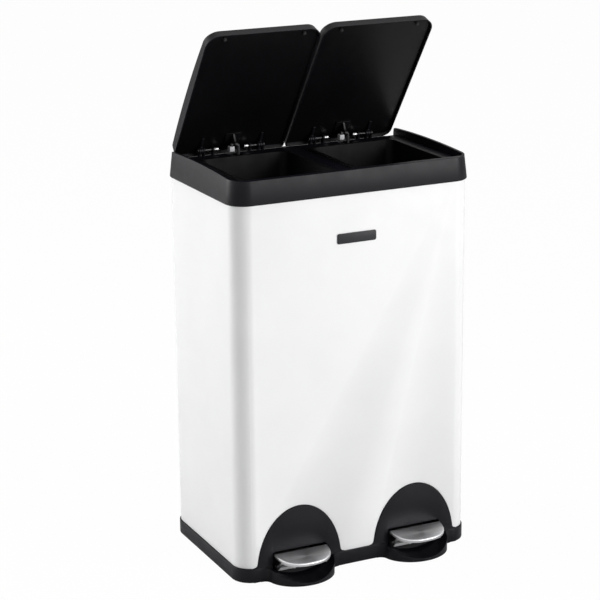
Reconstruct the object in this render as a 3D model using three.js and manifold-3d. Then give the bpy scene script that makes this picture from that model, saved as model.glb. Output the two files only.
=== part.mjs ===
// Double recycling bin: one steel body on a moulded base, two lift-out buckets and two lids, each
// opened by its own pedal through a lever and a push rod behind the buckets.
// Millimetres, +Z up, the front faces -Y. The model stands as in use with both pedals pressed and
// both lids open. The origin is on the floor, under the middle of the whole outline.
import * as THREE from 'three';
import { mergeVertices } from 'three/addons/utils/BufferGeometryUtils.js';
import Module from 'manifold-3d';

const wasm = await Module();
wasm.setup();

// ---------------------------------------------------------------- driving dimensions

// Fits
const seatGap = 0.3; // between faces that rest on each other
const pinGap = 0.3; // radial, a pin in its hole
const slideGap = 0.5; // beside a moving face

// Steel body
const bodyWidth = 404;
const bodyDepth = 262;
const bodyCorner = 30;
const bodyWall = 1;
const bodyTop = 612;

// Moulded base
const footLift = 1.5; // underside of the base above the floor
const baseTop = 25;
const baseProud = 2.2; // band in front of the steel
const baseFloorThick = 3.5;
const bandEdge = 1.4; // rounded edges of the band

// Arched pedal panels and toe guards
const pedalInset = 100.5; // middle of a pedal from the body's side
const archHalfWidth = 72.5;
const archTop = 116;
const archSpring = 15; // height of the arch's widest level
const archFillet = 6; // where the arch meets the band
const archThick = 5;
const archProud = 1.2;
const archGap = 0.5;
const toeHalfWidth = 55.5;
const toeReach = 48.6; // in front of the steel
const toeFlare = 12;
const toeFrontHeight = 6;
const toeSideHeight = 24;
const slotWidth = 93;
const slotBottom = 16.6;
const slotTop = 46.5;
const slotCorner = 2.5;

// Top frame
const frameLap = 12; // down over the steel
const frameHeight = 24.5; // rim at the front above the steel
const frameRise = 4.4; // arch of the sides above their ends
const frameProud = 2.6;
const frameDraft = 5;
const frameWall = 4;
const frameFrontWall = 8;
const frameEdge = 2; // rounded lower edge
const frameBack = 2; // rim at the rear above the rim at the front
const deckHeight = 16.5; // deck above the steel
const deckThick = 3;
const ledgeDrop = 4; // rear ledge below the deck
const ledgeAhead = 4; // front edge of the ledge before the hinge line
const rimBehind = 1; // end of the arched sides behind the hinge line
const rimDrop = 3; // length over which they fall to the ledge
const recessCorner = 14;
const mouthInset = 31; // from the body's side
const mouthBridge = 40; // deck between the two mouths
const mouthAhead = 21; // front edge behind the body's front
const mouthBehind = 40.5; // rear edge before the hinge line
const mouthCorner = 16;

// Buckets
const bucketRim = 5;
const bucketRimThick = 2.4;
const bucketWall = 1.8;
const bucketTaper = 11; // each side, from rim to bottom
const bucketBottom = 60;
const bucketGap = 0.7;
const bucketFoot = 6; // rounding at the bottom

// Lids
const lidInset = 9; // outer edge from the body's side
const lidMiddleGap = 3;
const lidOverhang = 3; // front edge before the body's front
const lidRearReach = 14;
const lidRimGap = 1.3;
const lidHighHeight = 23;
const lidHighPlace = 90; // highest level before the hinge line
const lidFrontHeight = 14.4;
const lidDraft = 2.5;
const lidRound = 3;
const skirtShare = 0.6; // of the rounding, inside the skirt
const lidCrown = 3;
const lidWall = 2.4;
const lidFrontCorner = 24;
const lidRearCorner = 14;
const lidOpening = 54.5; // degrees

// Lid liners
const linerRecess = 4;
const linerThick = 2;
const linerRibHeight = 5;
const linerRibLength = 17;

// Hinges
const hingeSetback = 19.5; // hinge line before the body's rear
const hingeHeight = 7.5; // above the deck
const knuckleSpacing = 102; // between the two knuckles of a lid
const knuckleWidth = 4;
const knuckleRadius = 5;
const earWidth = 2.6;
const earRadius = 5.2;
const hingePinRadius = 2;
const hingePinReach = 29; // from its knuckle towards the crank
const pinHeadRadius = 3.4;
const pinHeadThick = 1.4;
const pinCollarRadius = 2.8;
const pinCollarLength = 8;

// Crank and push rod
const crankRadius = 16; // hinge line to rod, with the lid half open
const crankWidth = 3;
const crankEnd = 5.6;
const crankPlateWidth = 26;
const crankPlateLength = 24;
const crankPlateThick = 1.8;
const rodRadius = 2.5;
const rodOffset = 6.5; // straight length beside the crank
const rodTailLength = 6.5;
const topClipSide = 9;
const topClipHeight = 15;
const topClipWidth = 8;
const lowClipRadius = 4.6;
const lowClipThick = 2.6;
const bushFlange = 6;
const bushRadius = 4.3;
const guideDrop = 27.5; // rod guide below the deck
const guideThick = 3;
const deckEdgeGap = 4; // round the crank's slot in the deck
const guideHalfWidth = 10;

// Pedal levers
const pivotSetback = 81; // behind the body's front
const pivotZ = 28;
const axleRadius = 3;
const barrelRadius = 6.4;
const barrelLength = 60;
const cheekThick = 3;
const cheekRadius = 7.4;
const cheekFoot = 12;
const leverFrontWidth = 84;
const leverRearWidth = 18;
const leverFrontEnd = 9; // behind the plate's front edge
const leverFlange = 6;
const leverSheet = 1.8;
const leverEar = 5;
const leverEarRadius = 6;
const axleClipRadius = 5.5;
const axleClipThick = 1.6;

// Pedal plates
const plateWidth = 90;
const plateReach = 44;
const plateStandoff = 3.9; // rear edge before the body's front
const plateTop = 44.5;
const plateLip = 7.5;
const plateSheet = 1.5;
const plateRound = 1.6;
const plateTilt = 3.4; // degrees, down towards the toe
const strapAtSlot = 23.5; // top of the lever strap where it leaves the slot
const plateSquareness = 2.5; // 2 is an ellipse
const screwRadius = 2;
const screwHeadRadius = 3.6;
const screwHeadThick = 2;
const screwSpacing = 50;
const screwSetback = 27; // screws in front of the plate's back edge

// Small parts
const badgeWidth = 66;
const badgeHeight = 16;
const badgeThick = 1.2;
const badgeCorner = 3;
const badgeDrop = 79; // middle below the top of the steel
const footRadius = 12;
const footInset = 40;
const footRecess = 2.2;
const bumperRadius = 2.6;
const bumperInset = 30;

// ---------------------------------------------------------------- derived places

const degree = Math.PI / 180;
const frontY = -bodyDepth / 2;
const frameBottom = bodyTop - frameLap;
const frameFront = bodyTop + frameHeight;
const deckTop = bodyTop + deckHeight;
const ledgeTop = deckTop - ledgeDrop;
const guideHeight = deckTop - guideDrop;
const badgeZ = bodyTop - badgeDrop;
const hingeY = bodyDepth / 2 - hingeSetback;
const hingeZ = deckTop + hingeHeight;
const ledgeFront = hingeY - ledgeAhead;
const rimEnd = hingeY + rimBehind;
const baseFloorTop = footLift + baseFloorThick;
const shellBottom = baseFloorTop + seatGap;
const pedalX = bodyWidth / 2 - pedalInset;
const pivotY = frontY + pivotSetback;
const plateBack = frontY - plateStandoff;
const plateFront = plateBack - plateReach;
const mouthWidth = bodyWidth / 2 - mouthInset - mouthBridge / 2;
const mouthX = (mouthBridge + mouthWidth) / 2;
const mouthFront = frontY + mouthAhead;
const mouthBack = hingeY - mouthBehind;
const bucketSeat = deckTop + seatGap;
const lidInnerX = lidMiddleGap / 2;
const lidOuterX = bodyWidth / 2 - lidInset;
const linkX = (lidInnerX + lidOuterX) / 2; // cranks and rods, under the middle of each lid
const lidFrontY = frontY - lidOverhang;
const lidRearY = hingeY + lidRearReach;
const lidLow = frameFront + lidRimGap; // lower edge of a lid that is shut

// The rod hangs where the crank's swing is even about the level, so it barely moves sideways.
const crankSwing = (lidOpening / 2) * degree;
const rodY = hingeY - crankRadius * Math.cos(crankSwing);
const rodLift = 2 * crankRadius * Math.sin(crankSwing);
const rodTopZ = hingeZ + rodLift / 2;
const hookZ = pivotZ + rodLift / 2;
const screwY = plateBack - screwSetback;
const plateSlope = Math.tan(plateTilt * degree);

// Height of the arched top edge of the frame's sides.
const rimLine = (y) => {
  const along = y / (bodyDepth / 2);
  return frameFront + (frameBack * (along + 1)) / 2 + frameRise * (1 - along * along);
};
// Height of a lid's skirt: its top edge is a flat arch from front to rear.
const lidHeight = (y) => {
  const highest = hingeY - lidHighPlace;
  const share = (y - highest) / (lidFrontY - highest);
  return lidHighHeight - (lidHighHeight - lidFrontHeight) * share * share;
};

// ---------------------------------------------------------------- solids from three.js geometry

function solidOf(geometry) {
  geometry.deleteAttribute('normal');
  geometry.deleteAttribute('uv');
  const merged = mergeVertices(geometry, 1e-4);
  return new wasm.Manifold(new wasm.Mesh({
    numProp: 3,
    vertProperties: new Float32Array(merged.attributes.position.array),
    triVerts: new Uint32Array(merged.index.array),
  }));
}

function geometryOf(solid) {
  const mesh = solid.getMesh();
  const geometry = new THREE.BufferGeometry();
  geometry.setAttribute('position', new THREE.BufferAttribute(mesh.vertProperties, 3));
  geometry.setIndex(new THREE.BufferAttribute(mesh.triVerts, 1));
  geometry.computeVertexNormals();
  return geometry;
}

function extrude(shape, length, curveSegments) {
  return new THREE.ExtrudeGeometry(shape, { depth: length, bevelEnabled: false, curveSegments });
}

// A shape drawn in X and Y, standing between two heights.
function alongZ(shape, z0, z1, curveSegments = 6) {
  return solidOf(extrude(shape, z1 - z0, curveSegments).translate(0, 0, z0));
}

// A shape drawn in X (as its x) and Z (as its y), between two planes of constant Y.
function alongY(shape, y0, y1, curveSegments = 6) {
  const turn = new THREE.Matrix4().makeBasis(
    new THREE.Vector3(1, 0, 0), new THREE.Vector3(0, 0, 1), new THREE.Vector3(0, -1, 0));
  return solidOf(extrude(shape, y1 - y0, curveSegments).applyMatrix4(turn).translate(0, y1, 0));
}

// A shape drawn in Y (as its x) and Z (as its y), between two planes of constant X.
function alongX(shape, x0, x1, curveSegments = 6) {
  const turn = new THREE.Matrix4().makeBasis(
    new THREE.Vector3(0, 1, 0), new THREE.Vector3(0, 0, 1), new THREE.Vector3(1, 0, 0));
  return solidOf(extrude(shape, x1 - x0, curveSegments).applyMatrix4(turn).translate(x0, 0, 0));
}

// A closed skin through rings of equally many points, ended by a fan at both ends.
function loft(rings, startPoint, endPoint) {
  const count = rings[0].length;
  const middle = (ring) => ring.reduce((sum, p) => sum.map((v, i) => v + p[i] / count), [0, 0, 0]);
  const start = startPoint ?? middle(rings[0]);
  const end = endPoint ?? middle(rings[rings.length - 1]);
  const points = [start, ...rings.flat(), end];
  const last = points.length - 1;
  const faces = [];
  const at = (ring, i) => 1 + ring * count + (i % count);
  for (let i = 0; i < count; i += 1) {
    faces.push(0, at(0, i + 1), at(0, i));
    for (let ring = 0; ring + 1 < rings.length; ring += 1) {
      faces.push(at(ring, i), at(ring, i + 1), at(ring + 1, i + 1));
      faces.push(at(ring, i), at(ring + 1, i + 1), at(ring + 1, i));
    }
    faces.push(at(rings.length - 1, i), at(rings.length - 1, i + 1), last);
  }
  const geometry = new THREE.BufferGeometry();
  geometry.setAttribute('position', new THREE.Float32BufferAttribute(points.flat(), 3));
  geometry.setIndex(faces);
  return solidOf(geometry);
}

function polygon(points) {
  return new THREE.Shape(points.map(([x, y]) => new THREE.Vector2(x, y)));
}

function box(x0, x1, y0, y1, z0, z1) {
  return alongZ(polygon([[x0, y0], [x1, y0], [x1, y1], [x0, y1]]), z0, z1);
}

function circle(x, y, radius) {
  return new THREE.Shape().absarc(x, y, radius, 0, 2 * Math.PI);
}

// Two round ends joined by straight sides.
function slotShape(x0, y0, x1, y1, radius) {
  const angle = Math.atan2(y1 - y0, x1 - x0);
  const shape = new THREE.Shape();
  shape.absarc(x0, y0, radius, angle + Math.PI / 2, angle + (3 * Math.PI) / 2);
  shape.absarc(x1, y1, radius, angle - Math.PI / 2, angle + Math.PI / 2);
  shape.closePath();
  return shape;
}

function roundedRectangle(x0, x1, y0, y1, radius) {
  const shape = new THREE.Shape();
  shape.absarc(x1 - radius, y1 - radius, radius, 0, Math.PI / 2);
  shape.absarc(x0 + radius, y1 - radius, radius, Math.PI / 2, Math.PI);
  shape.absarc(x0 + radius, y0 + radius, radius, Math.PI, (3 * Math.PI) / 2);
  shape.absarc(x1 - radius, y0 + radius, radius, (3 * Math.PI) / 2, 2 * Math.PI);
  shape.closePath();
  return shape;
}

// Points round a rectangle with its own radius at the front and the rear corners. The long sides
// are stepped so that a skin over them can follow an arched edge.
function roundedOutline({ x0, x1, y0, y1, front, rear, inset = 0, sideSteps = 1, cornerSteps = 5 }) {
  const left = x0 + inset;
  const right = x1 - inset;
  const near = y0 + inset;
  const far = y1 - inset;
  const corners = [
    [right, far, -1, -1, Math.max(rear - inset, 0.5), 0],
    [left, far, 1, -1, Math.max(rear - inset, 0.5), 90],
    [left, near, 1, 1, Math.max(front - inset, 0.5), 180],
    [right, near, -1, 1, Math.max(front - inset, 0.5), 270],
  ];
  const points = [];
  corners.forEach(([x, y, sx, sy, radius, from], corner) => {
    for (let i = 0; i <= cornerSteps; i += 1) {
      const angle = (from + (90 * i) / cornerSteps) * degree;
      points.push([x + sx * radius + radius * Math.cos(angle),
        y + sy * radius + radius * Math.sin(angle)]);
    }
    const alongSide = corner === 1 || corner === 3;
    const [startX, startY] = points[points.length - 1];
    const [, nextY, , nextSign, nextRadius] = corners[(corner + 1) % 4];
    const endY = nextY + nextSign * nextRadius;
    for (let i = 1; alongSide && i < sideSteps; i += 1) {
      points.push([startX, startY + ((endY - startY) * i) / sideSteps]);
    }
  });
  return points;
}

// The body's rounded rectangle, grown or shrunk, as a ring at one height.
function bodyRing(grow, z) {
  const outline = roundedOutline({
    x0: -bodyWidth / 2, x1: bodyWidth / 2, y0: frontY, y1: -frontY,
    front: bodyCorner, rear: bodyCorner, inset: -grow, cornerSteps: 7,
  });
  return outline.map(([x, y]) => [x, y, z]);
}

function bodyBlock(grow, z0, z1) {
  return loft([bodyRing(grow, z0), bodyRing(grow, z1)]);
}

function roundBar(radius, from, to, sides = 16) {
  const start = new THREE.Vector3(...from);
  const end = new THREE.Vector3(...to);
  const bar = new THREE.CylinderGeometry(radius, radius, start.distanceTo(end), sides);
  const turn = new THREE.Quaternion().setFromUnitVectors(
    new THREE.Vector3(0, 1, 0), end.clone().sub(start).normalize());
  bar.applyQuaternion(turn);
  const middle = start.add(end).multiplyScalar(0.5);
  return solidOf(bar.translate(middle.x, middle.y, middle.z));
}

// ---------------------------------------------------------------- finishes

const finishes = {
  whiteSteel: { color: 0xf1f1f3, roughness: 0.42, metalness: 0.0 },
  charcoal: { color: 0x2b2c31, roughness: 0.5, metalness: 0.0 },
  lidCharcoal: { color: 0x1f2024, roughness: 0.38, metalness: 0.0 },
  bucketGrey: { color: 0x2a2b2f, roughness: 0.55, metalness: 0.0 },
  brushedSteel: { color: 0xa9aaac, roughness: 0.34, metalness: 1.0 },
  blackSteel: { color: 0x26272a, roughness: 0.45, metalness: 0.6 },
  zincSteel: { color: 0x9c9da1, roughness: 0.45, metalness: 1.0 },
  rubber: { color: 0x18181a, roughness: 0.85, metalness: 0.0 },
  lightNylon: { color: 0xc4c5c8, roughness: 0.5, metalness: 0.0 },
  badgeMetal: { color: 0x4c4e53, roughness: 0.35, metalness: 0.8 },
};

const materials = Object.fromEntries(Object.entries(finishes).map(
  ([name, values]) => [name, new THREE.MeshStandardMaterial({ name, ...values })]));

function piece(name, solid, finish) {
  const mesh = new THREE.Mesh(geometryOf(solid), materials[finish]);
  mesh.name = name;
  return mesh;
}

// ---------------------------------------------------------------- base

// An elliptical arch whose feet run out into the band in a hollow curve.
function archShape(x, grow) {
  const half = archHalfWidth + grow;
  const rise = archTop - archSpring + grow;
  const band = baseTop + grow;
  const start = Math.asin((band + archFillet - archSpring) / rise);
  const side = half * Math.cos(start);
  const foot = half + archFillet;
  const shape = new THREE.Shape();
  shape.moveTo(x + foot, footLift);
  shape.lineTo(x + foot, band);
  shape.quadraticCurveTo(x + half, band, x + side, band + archFillet);
  shape.absellipse(x, archSpring, half, rise, start, Math.PI - start);
  shape.quadraticCurveTo(x - half, band, x - foot, band);
  shape.lineTo(x - foot, footLift);
  shape.closePath();
  return shape;
}

// Plan of a toe guard: half an oval in front of the band, flared into it on both sides.
function toeShape(x) {
  const band = frontY - baseProud;
  const reach = toeReach - baseProud;
  const shape = new THREE.Shape();
  shape.moveTo(x + toeHalfWidth + toeFlare, band + 1);
  shape.lineTo(x - toeHalfWidth - toeFlare, band + 1);
  shape.lineTo(x - toeHalfWidth - toeFlare, band);
  shape.quadraticCurveTo(x - toeHalfWidth, band, x - toeHalfWidth * 0.97, band - reach * 0.25);
  const steps = 14;
  const first = Math.asin(0.25);
  for (let i = 1; i <= steps; i += 1) {
    const angle = Math.PI + first + ((Math.PI - 2 * first) * i) / steps;
    shape.lineTo(x + toeHalfWidth * Math.cos(angle), band + reach * Math.sin(angle));
  }
  shape.quadraticCurveTo(x + toeHalfWidth, band, x + toeHalfWidth + toeFlare, band);
  shape.closePath();
  return shape;
}

// The hollow that leaves room for the toe: a wide cylinder, deepest in the middle.
function toeScoop(x) {
  const rise = toeSideHeight - toeFrontHeight;
  const radius = (toeHalfWidth ** 2 + rise ** 2) / (2 * rise);
  const hollow = circle(x, toeFrontHeight + radius, radius);
  return alongY(hollow, frontY - toeReach - 1, frontY, 40);
}

function leverCheeks(x) {
  const half = barrelLength / 2 + slideGap;
  const side = new THREE.Shape();
  side.moveTo(pivotY + cheekFoot, footLift + 1);
  side.lineTo(pivotY + cheekRadius, pivotZ);
  side.absarc(pivotY, pivotZ, cheekRadius, 0, Math.PI);
  side.lineTo(pivotY - cheekFoot, footLift + 1);
  side.closePath();
  const left = alongX(side, x - half - cheekThick, x - half);
  const right = alongX(side, x + half, x + half + cheekThick);
  return left.add(right);
}

function footPlaces() {
  const x = bodyWidth / 2 - footInset;
  const y = bodyDepth / 2 - footInset;
  return [['front_left', -x, -y], ['front_right', x, -y], ['rear_left', -x, y], ['rear_right', x, y]];
}

function base() {
  let solid = loft([
    bodyRing(baseProud - bandEdge, footLift),
    bodyRing(baseProud, footLift + bandEdge),
    bodyRing(baseProud, baseTop - bandEdge),
    bodyRing(baseProud - bandEdge, baseTop),
  ]);
  for (const x of [-pedalX, pedalX]) {
    const toe = alongZ(toeShape(x), footLift, toeSideHeight, 8);
    solid = solid.add(toe).subtract(toeScoop(x));
  }
  solid = solid.subtract(bodyBlock(seatGap, baseFloorTop, baseTop + 1));
  for (const x of [-pedalX, pedalX]) {
    solid = solid.add(alongY(archShape(x, 0), frontY - archProud, frontY - archProud + archThick, 14));
    solid = solid.add(leverCheeks(x));
    const half = slotWidth / 2;
    const slot = roundedRectangle(x - half, x + half, slotBottom, slotTop, slotCorner);
    solid = solid.subtract(alongY(slot, frontY - baseProud, frontY + archThick, 4));
    const reach = barrelLength / 2 + 2 * cheekThick;
    const hole = circle(pivotY, pivotZ, axleRadius + pinGap);
    solid = solid.subtract(alongX(hole, x - reach, x + reach, 8));
  }
  for (const [, x, y] of footPlaces()) {
    solid = solid.subtract(alongZ(circle(x, y, footRadius + seatGap), footLift - 1,
      footLift + footRecess, 10));
  }
  return piece('base', solid, 'charcoal');
}

function feet() {
  const top = footLift + footRecess - seatGap;
  return footPlaces().map(([name, x, y]) => {
    const profile = [[0, 0], [footRadius - 1, 0], [footRadius, 1], [footRadius, top], [0, top]];
    const shape = new THREE.LatheGeometry(profile.map(([r, z]) => new THREE.Vector2(r, z)), 20);
    const mesh = new THREE.Mesh(shape.rotateX(Math.PI / 2), materials.rubber);
    mesh.name = `foot_${name}`;
    mesh.position.set(x, y, 0);
    return mesh;
  });
}

// ---------------------------------------------------------------- body shell and badge

function bodyShell() {
  let solid = bodyBlock(0, shellBottom, bodyTop);
  solid = solid.subtract(bodyBlock(-bodyWall, shellBottom - 1, bodyTop + 1));
  for (const x of [-pedalX, pedalX]) {
    const reach = frontY + bodyCorner;
    solid = solid.subtract(alongY(archShape(x, archGap), frontY - 1, reach, 14));
  }
  return piece('body_shell', solid, 'whiteSteel');
}

function badge() {
  const shape = roundedRectangle(-badgeWidth / 2, badgeWidth / 2,
    badgeZ - badgeHeight / 2, badgeZ + badgeHeight / 2, badgeCorner);
  const back = frontY - seatGap;
  return piece('badge_plate', alongY(shape, back - badgeThick, back), 'badgeMetal');
}

// ---------------------------------------------------------------- top frame

// Everything under the frame's top edge, seen from the side.
function underTopEdge() {
  const shape = new THREE.Shape();
  const reach = bodyDepth / 2 + 20;
  const steps = 14;
  shape.moveTo(-reach, frameBottom - 1);
  for (let i = 0; i <= steps; i += 1) {
    const y = frontY - frameProud + ((rimEnd - rimDrop - frontY + frameProud) * i) / steps;
    if (i === 0) shape.lineTo(-reach, rimLine(y));
    shape.lineTo(y, rimLine(y));
  }
  shape.quadraticCurveTo(rimEnd, rimLine(rimEnd), rimEnd, ledgeTop);
  shape.lineTo(reach, ledgeTop);
  shape.lineTo(reach, frameBottom - 1);
  shape.closePath();
  return alongX(shape, -bodyWidth, bodyWidth, 5);
}

function mouthShape(x, grow) {
  const half = mouthWidth / 2 + grow;
  return roundedRectangle(x - half, x + half, mouthFront - grow, mouthBack + grow,
    mouthCorner + grow);
}

// Ears on both sides of a knuckle, and a third that carries the long end of its pin.
function hingeEars(x, inward) {
  const side = new THREE.Shape();
  side.moveTo(hingeY + earRadius - 1.2, ledgeTop - 1);
  side.lineTo(hingeY + earRadius - 1.2, hingeZ - earRadius * 0.6);
  side.absarc(hingeY, hingeZ, earRadius, -0.3, Math.PI + 0.6);
  side.lineTo(ledgeFront + 0.5, ledgeTop - 1);
  side.closePath();
  const beside = (knuckleWidth + earWidth) / 2 + slideGap;
  const beforeCollar = hingePinReach - pinCollarLength - slideGap - earWidth / 2;
  const ears = [x - beside, x + beside, x + inward * beforeCollar].map(
    (middle) => alongX(side, middle - earWidth / 2, middle + earWidth / 2));
  return ears[0].add(ears[1]).add(ears[2]);
}

function rodGuide(x) {
  const wall = box(x - guideHalfWidth, x + guideHalfWidth, ledgeFront - deckEdgeGap,
    ledgeFront - 1, guideHeight, ledgeTop - 1);
  const shelf = box(x - guideHalfWidth, x + guideHalfWidth, rodY - guideHalfWidth, ledgeFront - 1,
    guideHeight, guideHeight + guideThick);
  const hole = alongZ(circle(x, rodY, bushRadius + pinGap), guideHeight - 1,
    guideHeight + guideThick + 1, 8);
  return wall.add(shelf).subtract(hole);
}

function topFrame() {
  const top = rimLine(0) + 3;
  let solid = loft([
    bodyRing(frameProud - frameEdge, frameBottom),
    bodyRing(frameProud - frameEdge * 0.3, frameBottom + frameEdge * 0.3),
    bodyRing(frameProud, frameBottom + frameEdge),
    bodyRing(frameProud - frameDraft, top),
  ]);
  solid = solid.intersect(underTopEdge());
  solid = solid.subtract(bodyBlock(seatGap, frameBottom - 1, bodyTop + seatGap));
  solid = solid.subtract(bodyBlock(-frameWall, frameBottom - 1, ledgeTop - deckThick));
  const underDeck = bodyBlock(-frameWall, ledgeTop - deckThick - 1, deckTop - deckThick);
  const ahead = box(-bodyWidth, bodyWidth, -bodyDepth, ledgeFront - deckThick, frameBottom, top);
  solid = solid.subtract(underDeck.intersect(ahead));
  const inner = bodyWidth / 2 + frameProud - frameDraft - frameWall;
  const near = frontY - frameProud + frameDraft + frameFrontWall;
  const recess = roundedRectangle(-inner, inner, near, bodyDepth, recessCorner);
  solid = solid.subtract(alongZ(recess, deckTop, top + 1, 7));
  solid = solid.subtract(box(-inner, inner, ledgeFront, bodyDepth, ledgeTop, top));
  for (const side of [-1, 1]) {
    const link = side * linkX;
    solid = solid.subtract(alongZ(mouthShape(side * mouthX, 0), frameBottom, top, 5));
    const front = rodY - crankEnd - slideGap - deckEdgeGap;
    const left = link - crankWidth / 2 - 2 * slideGap - topClipWidth;
    const right = link + rodOffset + rodRadius + 3 * slideGap;
    solid = solid.subtract(box(left, right, front, ledgeFront - deckEdgeGap, frameBottom, top));
    solid = solid.add(rodGuide(link + rodOffset));
    for (const end of [-1, 1]) {
      const x = link + (end * knuckleSpacing) / 2;
      solid = solid.add(hingeEars(x, -end));
      const hole = circle(hingeY, hingeZ, hingePinRadius + pinGap);
      solid = solid.subtract(alongX(hole, x - hingePinReach, x + hingePinReach, 6));
    }
  }
  return piece('top_frame', solid, 'charcoal');
}

// ---------------------------------------------------------------- buckets

function bucket(side) {
  const x = side * mouthX;
  const ring = (grow, z) => roundedOutline({
    x0: x - mouthWidth / 2, x1: x + mouthWidth / 2, y0: mouthFront, y1: mouthBack,
    front: mouthCorner, rear: mouthCorner, inset: -grow, cornerSteps: 4,
  }).map(([px, py]) => [px, py, z]);
  const outer = -bucketGap;
  const inner = outer - bucketWall;
  const rimTop = bucketSeat + bucketRimThick;
  const solid = loft([
    ring(outer - bucketTaper - bucketFoot, bucketBottom),
    ring(outer - bucketTaper - bucketFoot * 0.3, bucketBottom + bucketFoot * 0.3),
    ring(outer - bucketTaper, bucketBottom + bucketFoot),
    ring(outer, bucketSeat),
    ring(bucketRim, bucketSeat),
    ring(bucketRim, rimTop - 0.8),
    ring(bucketRim - 0.8, rimTop),
    ring(inner + 0.8, rimTop),
    ring(inner, rimTop - 0.8),
    ring(inner - bucketTaper, bucketBottom + bucketFoot),
    ring(inner - bucketTaper - bucketFoot, bucketBottom + bucketWall),
  ]);
  return solid;
}

// ---------------------------------------------------------------- lids

// Lid pieces are drawn with the lid shut and then moved so that the hinge line is their origin.
function onHinge(solid) {
  return solid.translate([0, -hingeY, -hingeZ]);
}

function lidSpan(side) {
  const inner = side * lidInnerX;
  const outer = side * lidOuterX;
  return [Math.min(inner, outer), Math.max(inner, outer)];
}

function lidRing(side, inset, height) {
  const [x0, x1] = lidSpan(side);
  const outline = roundedOutline({
    x0, x1, y0: lidFrontY, y1: lidRearY, front: lidFrontCorner, rear: lidRearCorner,
    inset, sideSteps: 8, cornerSteps: 4,
  });
  const middleX = (x0 + x1) / 2;
  const middleY = (lidFrontY + lidRearY) / 2;
  return outline.map(([x, y]) => {
    const across = (x - middleX) / ((x1 - x0) / 2);
    const along = (y - middleY) / ((lidRearY - lidFrontY) / 2);
    const crown = lidCrown * Math.max(0, 1 - across * across) * Math.max(0, 1 - along * along);
    return [x, y, lidLow + height(y, crown)];
  });
}

function lidShell(side) {
  const [x0, x1] = lidSpan(side);
  const middle = [(x0 + x1) / 2, (lidFrontY + lidRearY) / 2];
  const top = (drop) => (y, crown) => lidHeight(y) + crown - drop;
  const edge = (y) => lidHeight(y);
  const outerMiddle = lidLow + lidHeight(middle[1]) + lidCrown;
  const solid = loft([
    lidRing(side, 60, top(lidWall)),
    lidRing(side, lidDraft + lidRound + lidWall, top(lidWall)),
    lidRing(side, lidDraft + lidWall, (y) => edge(y) - lidWall - lidRound * skirtShare),
    lidRing(side, lidWall, () => 0),
    lidRing(side, 0, () => 0),
    lidRing(side, lidDraft, (y) => edge(y) - lidRound),
    lidRing(side, lidDraft + lidRound * 0.3, (y) => edge(y) - lidRound * 0.3),
    lidRing(side, lidDraft + lidRound, edge),
    lidRing(side, lidDraft + lidRound + 14, top(0)),
    lidRing(side, 45, top(0)),
    lidRing(side, 75, top(0)),
  ], [...middle, outerMiddle - lidWall], [...middle, outerMiddle]);
  return solid;
}

function knuckle(x) {
  const ribEnd = hingeY - knuckleRadius - linerRibLength;
  const under = lidLow + linerRecess + linerThick / 2;
  const side = new THREE.Shape();
  side.moveTo(hingeY - knuckleRadius, hingeZ);
  side.absarc(hingeY, hingeZ, knuckleRadius, Math.PI, 2 * Math.PI);
  side.lineTo(hingeY + knuckleRadius, under);
  side.lineTo(ribEnd, under);
  side.lineTo(ribEnd, under - linerRibHeight / 2);
  side.lineTo(hingeY - knuckleRadius, under - linerRibHeight);
  side.closePath();
  return alongX(side, x - knuckleWidth / 2, x + knuckleWidth / 2);
}

// What lies inside the skirt clears its steepest inner face, which is at the front.
function skirtInset(rise) {
  const steepest = lidDraft / (lidFrontHeight - lidWall - lidRound * skirtShare);
  return lidWall + seatGap + steepest * rise;
}

function linerPanel(side) {
  return loft([
    lidRing(side, 70, () => linerRecess),
    lidRing(side, skirtInset(linerRecess), () => linerRecess),
    lidRing(side, skirtInset(linerRecess + linerThick), () => linerRecess + linerThick),
    lidRing(side, 70, () => linerRecess + linerThick),
  ]);
}

function lidLiner(side) {
  let solid = linerPanel(side);
  for (const end of [-1, 1]) {
    const x = side * linkX + (end * knuckleSpacing) / 2;
    solid = solid.add(knuckle(x));
    const hole = circle(hingeY, hingeZ, hingePinRadius + pinGap);
    solid = solid.subtract(alongX(hole, x - knuckleWidth, x + knuckleWidth, 6));
  }
  return solid;
}

// Bracket under the liner. Its slot lets the rod keep its own line while the lid turns.
function lidCrank(side) {
  const x = side * linkX;
  const rear = hingeY - ledgeAhead;
  const front = rear - crankPlateLength;
  const under = lidLow + linerRecess - seatGap;
  const swing = -crankSwing;
  const shortest = crankRadius * Math.cos(crankSwing);
  const at = (radius) => [hingeY - radius * Math.cos(swing), hingeZ + radius * Math.sin(swing)];
  const near = at(shortest - slideGap);
  const far = at(crankRadius + slideGap);
  const web = new THREE.Shape();
  web.absarc(far[0], far[1], crankEnd, Math.PI * 0.95, Math.PI * 1.75);
  web.lineTo(rear, under);
  web.lineTo(front, under);
  web.closePath();
  let solid = alongX(web, x - crankWidth / 2, x + crankWidth / 2);
  solid = solid.add(box(x - crankPlateWidth / 2, x + crankPlateWidth / 2,
    front, rear, under - crankPlateThick, under));
  const slot = slotShape(near[0], near[1], far[0], far[1], rodRadius + pinGap + 0.2);
  return solid.subtract(alongX(slot, x - crankWidth, x + crankWidth, 6));
}

function lidBumper(side, end) {
  const [x0, x1] = lidSpan(side);
  const x = end < 0 ? x0 + bumperInset : x1 - bumperInset;
  const y = frontY - frameProud + frameDraft + frameFrontWall / 2;
  const top = lidLow + linerRecess - seatGap;
  return alongZ(circle(x, y, bumperRadius), rimLine(y) + seatGap, top, 6);
}

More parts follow.
